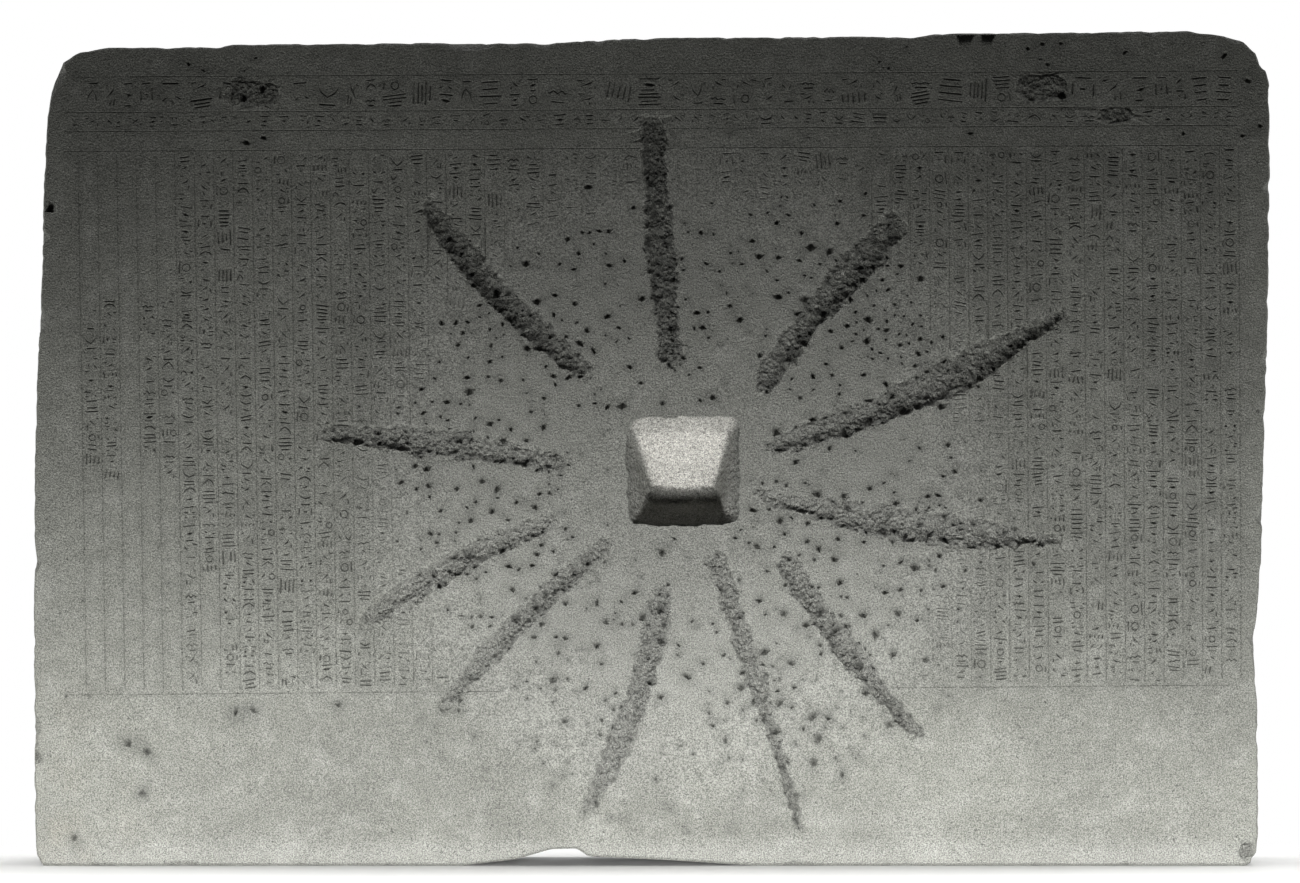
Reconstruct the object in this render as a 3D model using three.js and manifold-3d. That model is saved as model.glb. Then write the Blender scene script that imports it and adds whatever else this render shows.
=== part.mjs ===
// A carved stone stele that was laid flat and used again as a millstone: one upright slab of
// hard dark stone, a squarish socket sunk in its face, and eleven furrows that run out from
// the socket across a shallow worn dish.
// Millimetres, +Z up, carved face towards -Y, origin on the ground under the slab's middle.

import * as THREE from "three";
import { mergeVertices } from "three/addons/utils/BufferGeometryUtils.js";
import Module from "manifold-3d";

const wasm = await Module();
wasm.setup();

// Driving dimensions
const SLAB_WIDTH = 1372;
const SLAB_HEIGHT = 926;
const SLAB_DEPTH = 120;
const ARRIS = 3; // the small worn chamfer on every long edge
const FRONT = -SLAB_DEPTH / 2; // the carved face's place along Y
const OVERCUT = 4; // how far a cutter starts outside the face it cuts

// The socket is a lopsided hopper: its long upper wall slopes back and down to a small floor.
const SOCKET = {
  x: 35,
  z: 439,
  corners: 40, // points round one section
  squareness: 9, // the power of the rounded square: 2 is a circle, more is squarer
  // Sections from the face to the floor: depth, size, and how far the middle has moved.
  sections: [
    { depth: 0, width: 123, height: 118, right: 0, up: -1 },
    { depth: 12, width: 104, height: 96, right: -2, up: -8 },
    { depth: 29, width: 88, height: 56, right: -1, up: -17 },
    { depth: 46, width: 72, height: 17, right: 1, up: -27 },
  ],
};

const DISH = { radius: 372, depth: 1.6, segments: 72, rings: 3 };

// Each furrow starts and ends at a distance from the socket's middle, on a bearing in degrees
// anticlockwise from +X. It bows to its left by bow, and its widths are at the start, at the
// widest point, which is at the part peak of its length, and at the end.
const FURROWS = {
  top: { start: [112, 97], end: [394, 95], bow: 2, widths: [28, 31, 26], peak: 0.5, depth: 7 },
  topRight: { start: [121, 47], end: [368, 49], bow: 6, widths: [26, 37, 32], peak: 0.8, depth: 6.5 },
  upperRight: { start: [94, 13.5], end: [458, 22.5], bow: -13, widths: [22, 40, 14], peak: 0.6, depth: 7 },
  lowerRight: { start: [86, 341], end: [424, 349.5], bow: -9, widths: [18, 42, 8], peak: 0.6, depth: 6 },
  rightFoot: { start: [147, 318.5], end: [394, 311.5], bow: -5, widths: [24, 27, 14], peak: 0.4, depth: 9 },
  bottomRight: { start: [98, 290], end: [420, 288], bow: 3, widths: [26, 22, 7], peak: 0.3, depth: 6 },
  bottomLeft: { start: [133, 260.5], end: [396, 254], bow: 12, widths: [28, 30, 18], peak: 0.5, depth: 6 },
  leftFoot: { start: [115, 224.5], end: [376, 224.5], bow: -7, widths: [20, 26, 18], peak: 0.5, depth: 5.5 },
  lowerLeft: { start: [148, 201.5], end: [394, 205.5], bow: -9, widths: [22, 29, 20], peak: 0.7, depth: 5 },
  upperLeft: { start: [126, 178.5], end: [401, 174], bow: -5, widths: [22, 31, 20], peak: 0.55, depth: 4.5 },
  topLeft: { start: [146, 135], end: [412, 134], bow: 11, widths: [24, 30, 20], peak: 0.6, depth: 7 },
};
const FURROW_STEPS = 16;
const FURROW_RAGGEDNESS = 0.1; // the share of its width by which a pecked side wanders
// Half of a furrow's section, as shares of its half width and depth: a V with a worn bottom.
const FURROW_PROFILE = [[0, 1], [0.25, 0.9], [0.62, 0.46], [1, 0]];

// How far each side has worn back from the square block: [place along the side, loss].
// Places are X on the bottom and the top, and Z on the two ends.
const BOTTOM_LOSS = [
  [-674, 0], [-210, 0], [-150, 7], [-112, 18], [-84, 19], [-70, 10], [20, 6], [110, 0], [658, 0],
];
const RIGHT_LOSS = [
  [3, 22], [12, 14], [40, 13], [165, 13], [205, 16], [245, 18], [290, 13], [340, 9],
  [455, 7], [560, 3], [740, 0], [865, 0], [881, 4], [888, 11], [901, 16], [912, 27],
];
const TOP_LOSS = [
  [650, 9], [625, 4], [600, 0], [320, 3], [290, 6], [30, 7], [-60, 10], [-120, 13],
  [-360, 14], [-465, 15], [-480, 18], [-600, 18], [-632, 22],
];
const LEFT_LOSS = [
  [890, 31], [868, 22], [830, 15], [760, 11], [655, 9], [560, 4], [450, 1], [250, 0], [60, 1],
  [12, 3], [3, 8],
];

// Pieces knocked off the edges: the middle of each bite, its half sizes and its turn.
const CHIPS = [
  { at: [662, FRONT, 18], size: [14, 8, 10], turn: 0.4 },
  { at: [-676, FRONT, 731], size: [12, 9, 10], turn: 0.2 },
  { at: [-674, FRONT + 6, 800], size: [7, 14, 5], turn: 0.9 },
  { at: [-683, FRONT + 10, 358], size: [6, 20, 6], turn: 0.1 },
  { at: [-538, FRONT, 909], size: [12, 12, 6], turn: 0.3 },
  { at: [-413, FRONT, 914], size: [9, 9, 5], turn: 0.7 },
  { at: [-328, FRONT, 914], size: [10, 8, 5], turn: 0.2 },
  { at: [679, FRONT + 6, 890], size: [7, 22, 5], turn: 0.6 },
  { at: [-524, FRONT, 1], size: [22, 7, 7], turn: 0.1 },
];

const STONE = new THREE.MeshStandardMaterial({ color: 0x74756f, roughness: 0.72, metalness: 0 });

// The slab's outline in the plane of its face, anticlockwise from the lower left corner.
function outline() {
  const half = SLAB_WIDTH / 2;
  const points = [
    ...BOTTOM_LOSS.map(([x, loss]) => [x, loss]),
    ...RIGHT_LOSS.map(([z, loss]) => [half - loss, z]),
    ...TOP_LOSS.map(([x, loss]) => [x, SLAB_HEIGHT - loss]),
    ...LEFT_LOSS.map(([z, loss]) => [loss - half, z]),
  ];
  return new THREE.Shape(points.map(([x, z]) => new THREE.Vector2(x, z)));
}

// The plain block: the outline run through the slab's depth, with every arris broken.
function block() {
  const geometry = new THREE.ExtrudeGeometry(outline(), {
    depth: SLAB_DEPTH - 2 * ARRIS,
    bevelThickness: ARRIS,
    bevelSize: ARRIS,
    bevelOffset: -ARRIS,
    bevelSegments: 1,
  });
  geometry.rotateX(Math.PI / 2);
  geometry.translate(0, SLAB_DEPTH / 2 - ARRIS, 0);
  return geometry;
}

// A closed skin through rings of points that all have the same count, with flat ends.
// The rings run anticlockwise as seen from beyond the last one.
function loft(rings) {
  const count = rings[0].length;
  const positions = rings.flat().flatMap((p) => [p.x, p.y, p.z]);
  const faces = [];
  for (let ring = 0; ring + 1 < rings.length; ring += 1) {
    for (let i = 0; i < count; i += 1) {
      const a = ring * count + i;
      const b = ring * count + ((i + 1) % count);
      faces.push(a, b, b + count, a, b + count, a + count);
    }
  }
  const last = (rings.length - 1) * count;
  for (let i = 1; i + 1 < count; i += 1) {
    faces.push(0, i + 1, i, last, last + i, last + i + 1);
  }
  const geometry = new THREE.BufferGeometry();
  geometry.setAttribute("position", new THREE.Float32BufferAttribute(positions, 3));
  geometry.setIndex(faces);
  return geometry;
}

// One section of the socket: a rounded square that lies across Y.
function socketRing({ depth, width, height, right, up }) {
  const power = 2 / SOCKET.squareness;
  const bend = (value) => Math.sign(value) * Math.abs(value) ** power;
  return Array.from({ length: SOCKET.corners }, (_, i) => {
    const angle = (-2 * Math.PI * i) / SOCKET.corners;
    const x = SOCKET.x + right + (width / 2) * bend(Math.cos(angle));
    const z = SOCKET.z + up + (height / 2) * bend(Math.sin(angle));
    return new THREE.Vector3(x, FRONT + depth, z);
  });
}

// The socket's cutter starts outside the face with the size of its first section.
function socketCutter() {
  const mouth = { ...SOCKET.sections[0], depth: -OVERCUT };
  return loft([mouth, ...SOCKET.sections].map(socketRing));
}

// The worn dish round the socket is a shallow bowl, closed just in front of the face.
function dishCutter() {
  const profile = [new THREE.Vector2(0, DISH.depth)];
  for (let ring = 1; ring <= DISH.rings; ring += 1) {
    const share = ring / DISH.rings;
    profile.push(new THREE.Vector2(DISH.radius * share, DISH.depth * (1 - share ** 3)));
  }
  profile.push(new THREE.Vector2(DISH.radius, -OVERCUT), new THREE.Vector2(0, -OVERCUT));
  const geometry = new THREE.LatheGeometry(profile.reverse(), DISH.segments);
  geometry.translate(SOCKET.x, FRONT, SOCKET.z);
  return geometry;
}

// A point on the carved face at a distance and bearing from the socket's middle.
function onFace([distance, bearing]) {
  const angle = THREE.MathUtils.degToRad(bearing);
  return new THREE.Vector2(SOCKET.x + distance * Math.cos(angle), SOCKET.z + distance * Math.sin(angle));
}

// A furrow's width at a share of its length, with the wander of its pecked sides.
function furrowWidth({ widths, peak, bow }, share) {
  const [start, widest, end] = widths;
  const rise = THREE.MathUtils.smoothstep(share, 0, peak);
  const fall = THREE.MathUtils.smoothstep(share, peak, 1);
  const wander = 1 + FURROW_RAGGEDNESS * Math.sin(bow + share * 4 * Math.PI);
  return (start + (widest - start) * rise + (end - widest) * fall) * wander;
}

// A furrow's cutter is its section swept along the bowed line, shallow at both ends.
function furrowCutter(furrow) {
  const start = onFace(furrow.start);
  const run = onFace(furrow.end).sub(start);
  const side = new THREE.Vector2(-run.y, run.x).normalize();
  const half = [...FURROW_PROFILE, [1, -OVERCUT / furrow.depth]];
  const profile = [...half.map(([u, v]) => [-u, v]).reverse(), ...half.slice(1)];
  const rings = [];
  for (let step = 0; step <= FURROW_STEPS; step += 1) {
    const share = step / FURROW_STEPS;
    const middle = start.clone().addScaledVector(run, share);
    middle.addScaledVector(side, furrow.bow * Math.sin(Math.PI * share));
    const width = furrowWidth(furrow, share);
    const depth = furrow.depth * (0.15 + 0.85 * Math.sin(Math.PI * share) ** 0.4);
    rings.push(
      profile.map(([u, v]) => {
        const place = middle.clone().addScaledVector(side, (u * width) / 2);
        const reach = v < 0 ? -OVERCUT : v * depth + DISH.depth;
        return new THREE.Vector3(place.x, FRONT + reach, place.y);
      }),
    );
  }
  return loft(rings);
}

// A chip is a faceted lump that bites out of an edge.
function chipCutter({ at, size, turn }) {
  const geometry = new THREE.IcosahedronGeometry(1, 1);
  geometry.rotateY(turn);
  geometry.scale(...size);
  geometry.translate(...at);
  return geometry;
}

// Turns a closed geometry into a solid that can be cut and joined.
function solid(geometry) {
  const bare = geometry.clone();
  bare.deleteAttribute("normal");
  bare.deleteAttribute("uv");
  const merged = mergeVertices(bare, 1e-3);
  const made = new wasm.Manifold(
    new wasm.Mesh({
      numProp: 3,
      vertProperties: merged.attributes.position.array,
      triVerts: new Uint32Array(merged.index.array),
    }),
  );
  if (made.volume() <= 0) throw new Error("a cutter or the block is inside out");
  return made;
}

// Turns a solid back into a geometry with flat shaded faces.
function geometryOf(made) {
  const { vertProperties, triVerts } = made.getMesh();
  const indexed = new THREE.BufferGeometry();
  indexed.setAttribute("position", new THREE.BufferAttribute(vertProperties, 3));
  indexed.setIndex(new THREE.BufferAttribute(triVerts, 1));
  const geometry = indexed.toNonIndexed();
  geometry.computeVertexNormals();
  return geometry;
}

function steleSlab() {
  const furrows = Object.values(FURROWS).map(furrowCutter);
  const cutters = [socketCutter(), dishCutter(), ...furrows, ...CHIPS.map(chipCutter)];
  const carved = cutters.reduce((stone, cutter) => stone.subtract(solid(cutter)), solid(block()));
  const mesh = new THREE.Mesh(geometryOf(carved), STONE);
  mesh.name = "stele_slab";
  return mesh;
}

const stele = new THREE.Group();
stele.add(steleSlab());

export default stele;
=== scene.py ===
"""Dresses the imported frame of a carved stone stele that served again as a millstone.

The slab is one block of dark stone. Its face is rebuilt as one closed mesh: the outline, the
socket and the furrows are read from the frame, and the inscription's strokes, the ruled lines,
the pits and the broken edges are cut into it here. Lengths are in metres.
"""

import logging
import math
import random
from dataclasses import dataclass, field
from enum import Enum
from typing import Callable, Iterable, Sequence

import bmesh
import bpy
import numpy as np
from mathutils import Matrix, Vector, noise
from mathutils.bvhtree import BVHTree
from mathutils.geometry import delaunay_2d_cdt


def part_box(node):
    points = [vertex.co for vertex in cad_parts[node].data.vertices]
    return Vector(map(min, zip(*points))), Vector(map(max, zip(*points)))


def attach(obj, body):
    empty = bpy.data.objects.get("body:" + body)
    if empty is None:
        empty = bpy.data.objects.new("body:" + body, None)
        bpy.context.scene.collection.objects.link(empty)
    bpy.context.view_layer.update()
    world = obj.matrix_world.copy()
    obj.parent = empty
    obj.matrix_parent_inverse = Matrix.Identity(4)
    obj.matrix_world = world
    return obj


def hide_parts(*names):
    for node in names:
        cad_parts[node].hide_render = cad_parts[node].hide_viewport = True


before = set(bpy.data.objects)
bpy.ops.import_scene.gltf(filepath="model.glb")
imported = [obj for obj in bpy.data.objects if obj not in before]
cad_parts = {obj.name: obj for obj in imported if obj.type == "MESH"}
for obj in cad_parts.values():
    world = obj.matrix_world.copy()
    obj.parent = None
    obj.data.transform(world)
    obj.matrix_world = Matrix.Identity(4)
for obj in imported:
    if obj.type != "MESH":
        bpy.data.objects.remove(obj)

LOG = logging.getLogger("stele")
NODE = "stele_slab"
Point = tuple[float, float]


def smoothstep(low: float, high: float, value: float) -> float:
    """Rises smoothly from 0 at low to 1 at high."""
    share = min(1.0, max(0.0, (value - low) / (high - low)))
    return share * share * (3 - 2 * share)


def drift(x: float, z: float, size: float, layer: float = 0.0) -> float:
    """A smooth random value from about -1 to 1 on the face, with features of the given size."""
    return noise.noise(Vector((x / size, layer, z / size)))


class SlabSurvey:
    """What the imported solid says: its box, outline, socket and how deep its face is cut."""

    AXIS_DEPTHS = (0.020, 0.044)  # where the middle of the socket is measured, behind the face

    def __init__(self, node: bpy.types.Object) -> None:
        """Reads the solid once.

        Args:
            node: the CAD object of the slab, which is left as it is.
        """
        self.low, self.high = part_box(node.name)
        self.front = self.low.y
        self.back = self.high.y
        self.depth = self.back - self.front
        solid = bmesh.new()
        solid.from_mesh(node.data)
        bmesh.ops.remove_doubles(solid, verts=solid.verts, dist=1e-6)
        self.tree = BVHTree.FromBMesh(solid)
        self.outline_loop = max(self._loops(solid, 0.0), key=self._area)
        self.axis = [self._middle(sorted(self._loops(solid, self.front + depth), key=self._area)[-2])
                     for depth in self.AXIS_DEPTHS]
        solid.free()
        x, z = self.socket_middle(0.0)
        right, up, left, down = (self.socket_reach(math.tau * turn / 4, 0.003) for turn in range(4))
        self.socket_x = x + (right - left) / 2
        self.socket_z = z + (up - down) / 2
        self.socket_depth = self.cut(*self.axis[-1])
        self.lip_cut = self.cut(self.socket_x, self.socket_z + up + 0.004)

    @staticmethod
    def _middle(loop: list[Point]) -> Point:
        """The middle of the box round a loop."""
        a = np.array(loop)
        x, z = ((a.min(axis=0) + a.max(axis=0)) / 2).tolist()
        return x, z

    @staticmethod
    def _area(loop: list[Point]) -> float:
        """The size of the area inside a loop."""
        a = np.array(loop)
        b = np.roll(a, -1, axis=0)
        return abs(float((a[:, 0] * b[:, 1] - b[:, 0] * a[:, 1]).sum())) / 2

    @staticmethod
    def _loops(solid: bmesh.types.BMesh, y: float) -> list[list[Point]]:
        """The closed loops where the solid meets an upright plane at y."""
        copy = solid.copy()
        everything = [*copy.verts, *copy.edges, *copy.faces]
        made = bmesh.ops.bisect_plane(copy, geom=everything, plane_co=(0, y, 0), plane_no=(0, 1, 0))
        edges = [e for e in made["geom_cut"] if isinstance(e, bmesh.types.BMEdge)]
        beside: dict[int, list[int]] = {}
        place = {}
        for edge in edges:
            a, b = edge.verts
            beside.setdefault(a.index, []).append(b.index)
            beside.setdefault(b.index, []).append(a.index)
            place[a.index] = (a.co.x, a.co.z)
            place[b.index] = (b.co.x, b.co.z)
        loops = []
        while beside:
            start = min(beside)
            walk = [start]
            while True:
                onward = [n for n in beside[walk[-1]] if n in beside and n not in walk[-2:]]
                if len(walk) > 1:
                    beside.pop(walk[-1])
                if not onward or onward[0] == start:
                    break
                walk.append(onward[0])
            beside.pop(start, None)
            for index in walk:
                beside.pop(index, None)
            loops.append([place[index] for index in walk])
        copy.free()
        return loops

    def outline(self, step: float) -> np.ndarray:
        """The slab's outline, anticlockwise as the face is looked at, in even steps.

        Args:
            step: the wanted distance between points.

        Returns:
            An array of (x, z) rows.
        """
        loop = np.array(self.outline_loop)
        turn = np.roll(loop, -1, axis=0)
        if (loop[:, 0] * turn[:, 1] - turn[:, 0] * loop[:, 1]).sum() < 0:
            loop = loop[::-1]
        first = int(np.argmin(loop.sum(axis=1)))
        loop = np.roll(loop, -first, axis=0)
        closed = np.vstack([loop, loop[:1]])
        lengths = np.hypot(*np.diff(closed, axis=0).T)
        along = np.concatenate([[0], np.cumsum(lengths)])
        count = int(round(along[-1] / step))
        at = np.linspace(0, along[-1], count, endpoint=False)
        return np.column_stack([np.interp(at, along, closed[:, k]) for k in (0, 1)])

    def cut(self, x: float, z: float) -> float:
        """How far behind the plane of the face the solid's surface lies, 0 off the slab."""
        hit = self.tree.ray_cast(Vector((x, self.front - 1, z)), Vector((0, 1, 0)))[0]
        return 0.0 if hit is None or hit.y > self.back - 0.002 else hit.y - self.front

    def socket_middle(self, behind: float) -> Point:
        """The middle of the socket's section at a distance behind the face."""
        near, far = self.AXIS_DEPTHS
        share = min(1.0, max(0.0, (behind - near) / (far - near)))
        (ax, az), (bx, bz) = self.axis
        return ax + (bx - ax) * share, az + (bz - az) * share

    def socket_reach(self, angle: float, behind: float) -> float:
        """How far the socket's wall is from its section's middle, at an angle and a depth."""
        x, z = self.socket_middle(behind)
        y = self.front + max(0.0022, behind)
        hit = self.tree.ray_cast(Vector((x, y, z)), Vector((math.cos(angle), 0, math.sin(angle))))[0]
        return math.hypot(hit.x - x, hit.z - z)


class FacePlan:
    """The points and lines that the carved face is meshed through.

    Every cut marks its ground, so that no two cuts run into each other.
    """

    CELL = 0.0005
    RIM_DIRT_AND_SHADE = 0.4  # the share of a cut's painted darkening, dust and painted shade, that lies on its rim
    SUNK_CELLS = 4  # cells along one side of a square that is tested for sunken ground

    def __init__(self, survey: SlabSurvey) -> None:
        """Starts an empty plan.

        Args:
            survey: the slab that the face belongs to.
        """
        self.survey = survey
        self.points: list[Point] = []
        self.depths: list[float] = []
        self.dirt: list[float] = []
        self.edges: list[tuple[int, int]] = []
        wide = int((survey.high.x - survey.low.x) / self.CELL) + 1
        tall = int((survey.high.z - survey.low.z) / self.CELL) + 1
        self.taken = np.zeros((wide, tall), bool)
        self.sunk = np.zeros((wide // self.SUNK_CELLS + 1, tall // self.SUNK_CELLS + 1), bool)

    def _window(self, x: float, z: float, reach: float) -> tuple[slice, slice]:
        """The square of ground cells round a point."""
        i = int((x - self.survey.low.x) / self.CELL)
        k = int((z - self.survey.low.z) / self.CELL)
        r = max(1, int(round(reach / self.CELL)))
        return slice(max(0, i - r), max(0, i + r + 1)), slice(max(0, k - r), max(0, k + r + 1))

    def find_sunk(self, reach: float, deep: float) -> None:
        """Notes where the solid is cut deeper than the worn dish, within reach of the socket."""
        size = self.CELL * self.SUNK_CELLS
        for i, k in np.ndindex(self.sunk.shape):
            x, z = self.survey.low.x + (i + 0.5) * size, self.survey.low.z + (k + 0.5) * size
            if math.hypot(x - self.survey.socket_x, z - self.survey.socket_z) < reach:
                self.sunk[i, k] = self.survey.cut(x, z) > deep

    def is_sunk(self, x: float, z: float) -> bool:
        """Whether a place lies in a furrow or in the socket."""
        size = self.CELL * self.SUNK_CELLS
        return bool(self.sunk[int((x - self.survey.low.x) / size), int((z - self.survey.low.z) / size)])

    def is_free(self, places: Iterable[Point], reach: float) -> bool:
        """Whether no cut has its ground within reach of any of the places."""
        return not any(self.taken[self._window(x, z, reach)].any() for x, z in places)

    def take(self, places: Iterable[Point], reach: float) -> None:
        """Marks the ground round the places as used."""
        for x, z in places:
            self.taken[self._window(x, z, reach)] = True

    def add(self, x: float, z: float, depth: float = 0.0, dirt: float = 0.0) -> int:
        """Adds a point and returns its number."""
        self.points.append((x, z))
        self.depths.append(depth)
        self.dirt.append(dirt)
        return len(self.points) - 1

    def join(self, numbers: Sequence[int], closed: bool = False) -> None:
        """Makes the mesh follow a line through points that are already in the plan."""
        self.edges += list(zip(numbers, numbers[1:]))
        if closed:
            self.edges.append((numbers[-1], numbers[0]))

    def boundary(self, loop: np.ndarray) -> list[int]:
        """Adds a closed edge of the face and returns the numbers of its points."""
        numbers = [self.add(float(x), float(z)) for x, z in loop]
        self.join(numbers, closed=True)
        self.take([(float(x), float(z)) for x, z in loop], 0.003)
        return numbers

    @staticmethod
    def _samples(path: Sequence[Point], closed: bool) -> list[Point]:
        """Places along a path, close enough to test its ground."""
        ends = [*path, path[0]] if closed else list(path)
        places = []
        for (ax, az), (bx, bz) in zip(ends, ends[1:]):
            steps = max(1, int(math.dist((ax, az), (bx, bz)) / 0.0008))
            for step in range(steps + 1):
                t = step / steps
                places.append((ax + (bx - ax) * t, az + (bz - az) * t))
        return places

    def stroke(self, path: Sequence[Point], width: float, depth: float, dirt: float = 1.0,
               closed: bool = False, gap: float = 0.0006) -> bool:
        """Cuts a V-shaped stroke along a path, if its ground is free.

        Args:
            path: the places the stroke runs through.
            width: the width at the face.
            depth: the depth of the V.
            dirt: how much darker the bottom of the V is painted, for dust and painted shade, 0 to 1.
            closed: whether the path runs back to its start.
            gap: the ground kept free beside the stroke.

        Returns:
            Whether the stroke was cut.
        """
        places = self._samples(path, closed)
        if not self.is_free(places, width / 2 + gap) or any(self.is_sunk(x, z) for x, z in places):
            return False
        self.take(places, width / 2)
        if closed:
            self._ring(path, width, depth, dirt)
        else:
            self._open_stroke(path, width, depth, dirt)
        return True

    def _sides(self, a: Point, b: Point, c: Point, half: float) -> tuple[Point, Point]:
        """The two rim points beside b, on a path that comes from a and goes on to c."""
        dx, dz = c[0] - a[0], c[1] - a[1]
        length = math.hypot(dx, dz) or 1.0
        nx, nz = -dz / length * half, dx / length * half
        return (b[0] + nx, b[1] + nz), (b[0] - nx, b[1] - nz)

    def _open_stroke(self, path: Sequence[Point], width: float, depth: float, dirt: float) -> None:
        """Adds the points of a stroke with two tapered ends."""
        first, last = path[0], path[-1]
        if len(path) == 2:
            length = math.dist(first, last)
            run = ((last[0] - first[0]) / length, (last[1] - first[1]) / length)
            tip = min(0.9 * width, 0.42 * length)
            inner = [(first[0] + run[0] * t, first[1] + run[1] * t) for t in (tip, length - tip)]
            if length < 2.6 * width:
                inner = [((first[0] + last[0]) / 2, (first[1] + last[1]) / 2)]
        else:
            inner = list(path[1:-1])
        line = [first, *inner, last]
        start, end = self.add(*first), self.add(*last)
        left, valley, right = [], [], []
        for before, here, after in zip(line, line[1:], line[2:]):
            one, other = self._sides(before, here, after, width / 2)
            left.append(self.add(*one, 0.0, dirt * self.RIM_DIRT_AND_SHADE))
            valley.append(self.add(*here, depth, dirt))
            right.append(self.add(*other, 0.0, dirt * self.RIM_DIRT_AND_SHADE))
        self.join([start, *left, end, *reversed(right)], closed=True)
        self.join([start, *valley, end])

    def _ring(self, path: Sequence[Point], width: float, depth: float, dirt: float) -> None:
        """Adds the points of a stroke that closes on itself."""
        rims: tuple[list[int], list[int], list[int]] = ([], [], [])
        for i, here in enumerate(path):
            one, other = self._sides(path[i - 1], here, path[(i + 1) % len(path)], width / 2)
            rims[0].append(self.add(*one, 0.0, dirt * self.RIM_DIRT_AND_SHADE))
            rims[1].append(self.add(*here, depth, dirt))
            rims[2].append(self.add(*other, 0.0, dirt * self.RIM_DIRT_AND_SHADE))
        for rim in rims:
            self.join(rim, closed=True)

    def pit(self, x: float, z: float, radius: float, depth: float, rng: random.Random,
            dirt: float = 0.8) -> bool:
        """Strikes a ragged pit, if its ground is free.

        Args:
            x: the pit's place across the face.
            z: the pit's height.
            radius: the mean radius of its rim.
            depth: how deep its middle is.
            rng: the source of its raggedness.
            dirt: how much darker its middle is painted, for dust and painted shade, 0 to 1.

        Returns:
            Whether the pit was struck.
        """
        if not self.is_free([(x, z)], radius + 0.0008):
            return False
        self.take([(x, z)], radius)
        sides = rng.choice((5, 6, 7))
        turn, lie, thin = rng.uniform(0, math.tau), rng.uniform(0, math.pi), rng.uniform(0.45, 1.0)
        across, up = rng.uniform(-0.2, 0.2) * radius, rng.uniform(-0.2, 0.2) * radius
        middle = self.add(x + across, z + up, depth, dirt)
        rim = []
        for side in range(sides):
            angle = turn + math.tau * side / sides
            reach = radius * rng.uniform(0.75, 1.2)
            u, v = reach * math.cos(angle), reach * thin * math.sin(angle)
            rim_x = x + u * math.cos(lie) - v * math.sin(lie)
            rim_z = z + u * math.sin(lie) + v * math.cos(lie)
            rim.append(self.add(rim_x, rim_z, 0.0, dirt * self.RIM_DIRT_AND_SHADE))
        self.join(rim, closed=True)
        self.join([middle, rim[0]])
        return True

    def scatter(self, spacing: float, reach: float, wanted: Callable[[float, float], bool],
                rng: random.Random) -> int:
        """Adds plain points on a jittered triangular grid, wherever they are wanted and free.

        Args:
            spacing: the distance between points.
            reach: the free ground each point needs.
            wanted: says whether a place gets a point.
            rng: the source of the jitter.

        Returns:
            How many points were added.
        """
        low, high = self.survey.low, self.survey.high
        rows = int((high.z - low.z) / (spacing * 0.866)) + 1
        columns = int((high.x - low.x) / spacing) + 1
        before = len(self.points)
        for row in range(rows):
            for column in range(columns):
                x = low.x + (column + 0.5 * (row % 2) + rng.uniform(-0.22, 0.22)) * spacing
                z = low.z + (row * 0.866 + rng.uniform(-0.22, 0.22)) * spacing
                if wanted(x, z) and self.is_free([(x, z)], reach):
                    self.add(x, z)
        return len(self.points) - before


class Mark(Enum):
    """The plain marks that the rows and columns are filled with."""

    BARS = "bars"
    POSTS = "posts"
    SLANT = "slant"
    BOWL = "bowl"
    RIPPLE = "ripple"
    RING = "ring"
    FRAME = "frame"
    DOTS = "dots"
    WEDGE = "wedge"
    RAYS = "rays"


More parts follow.
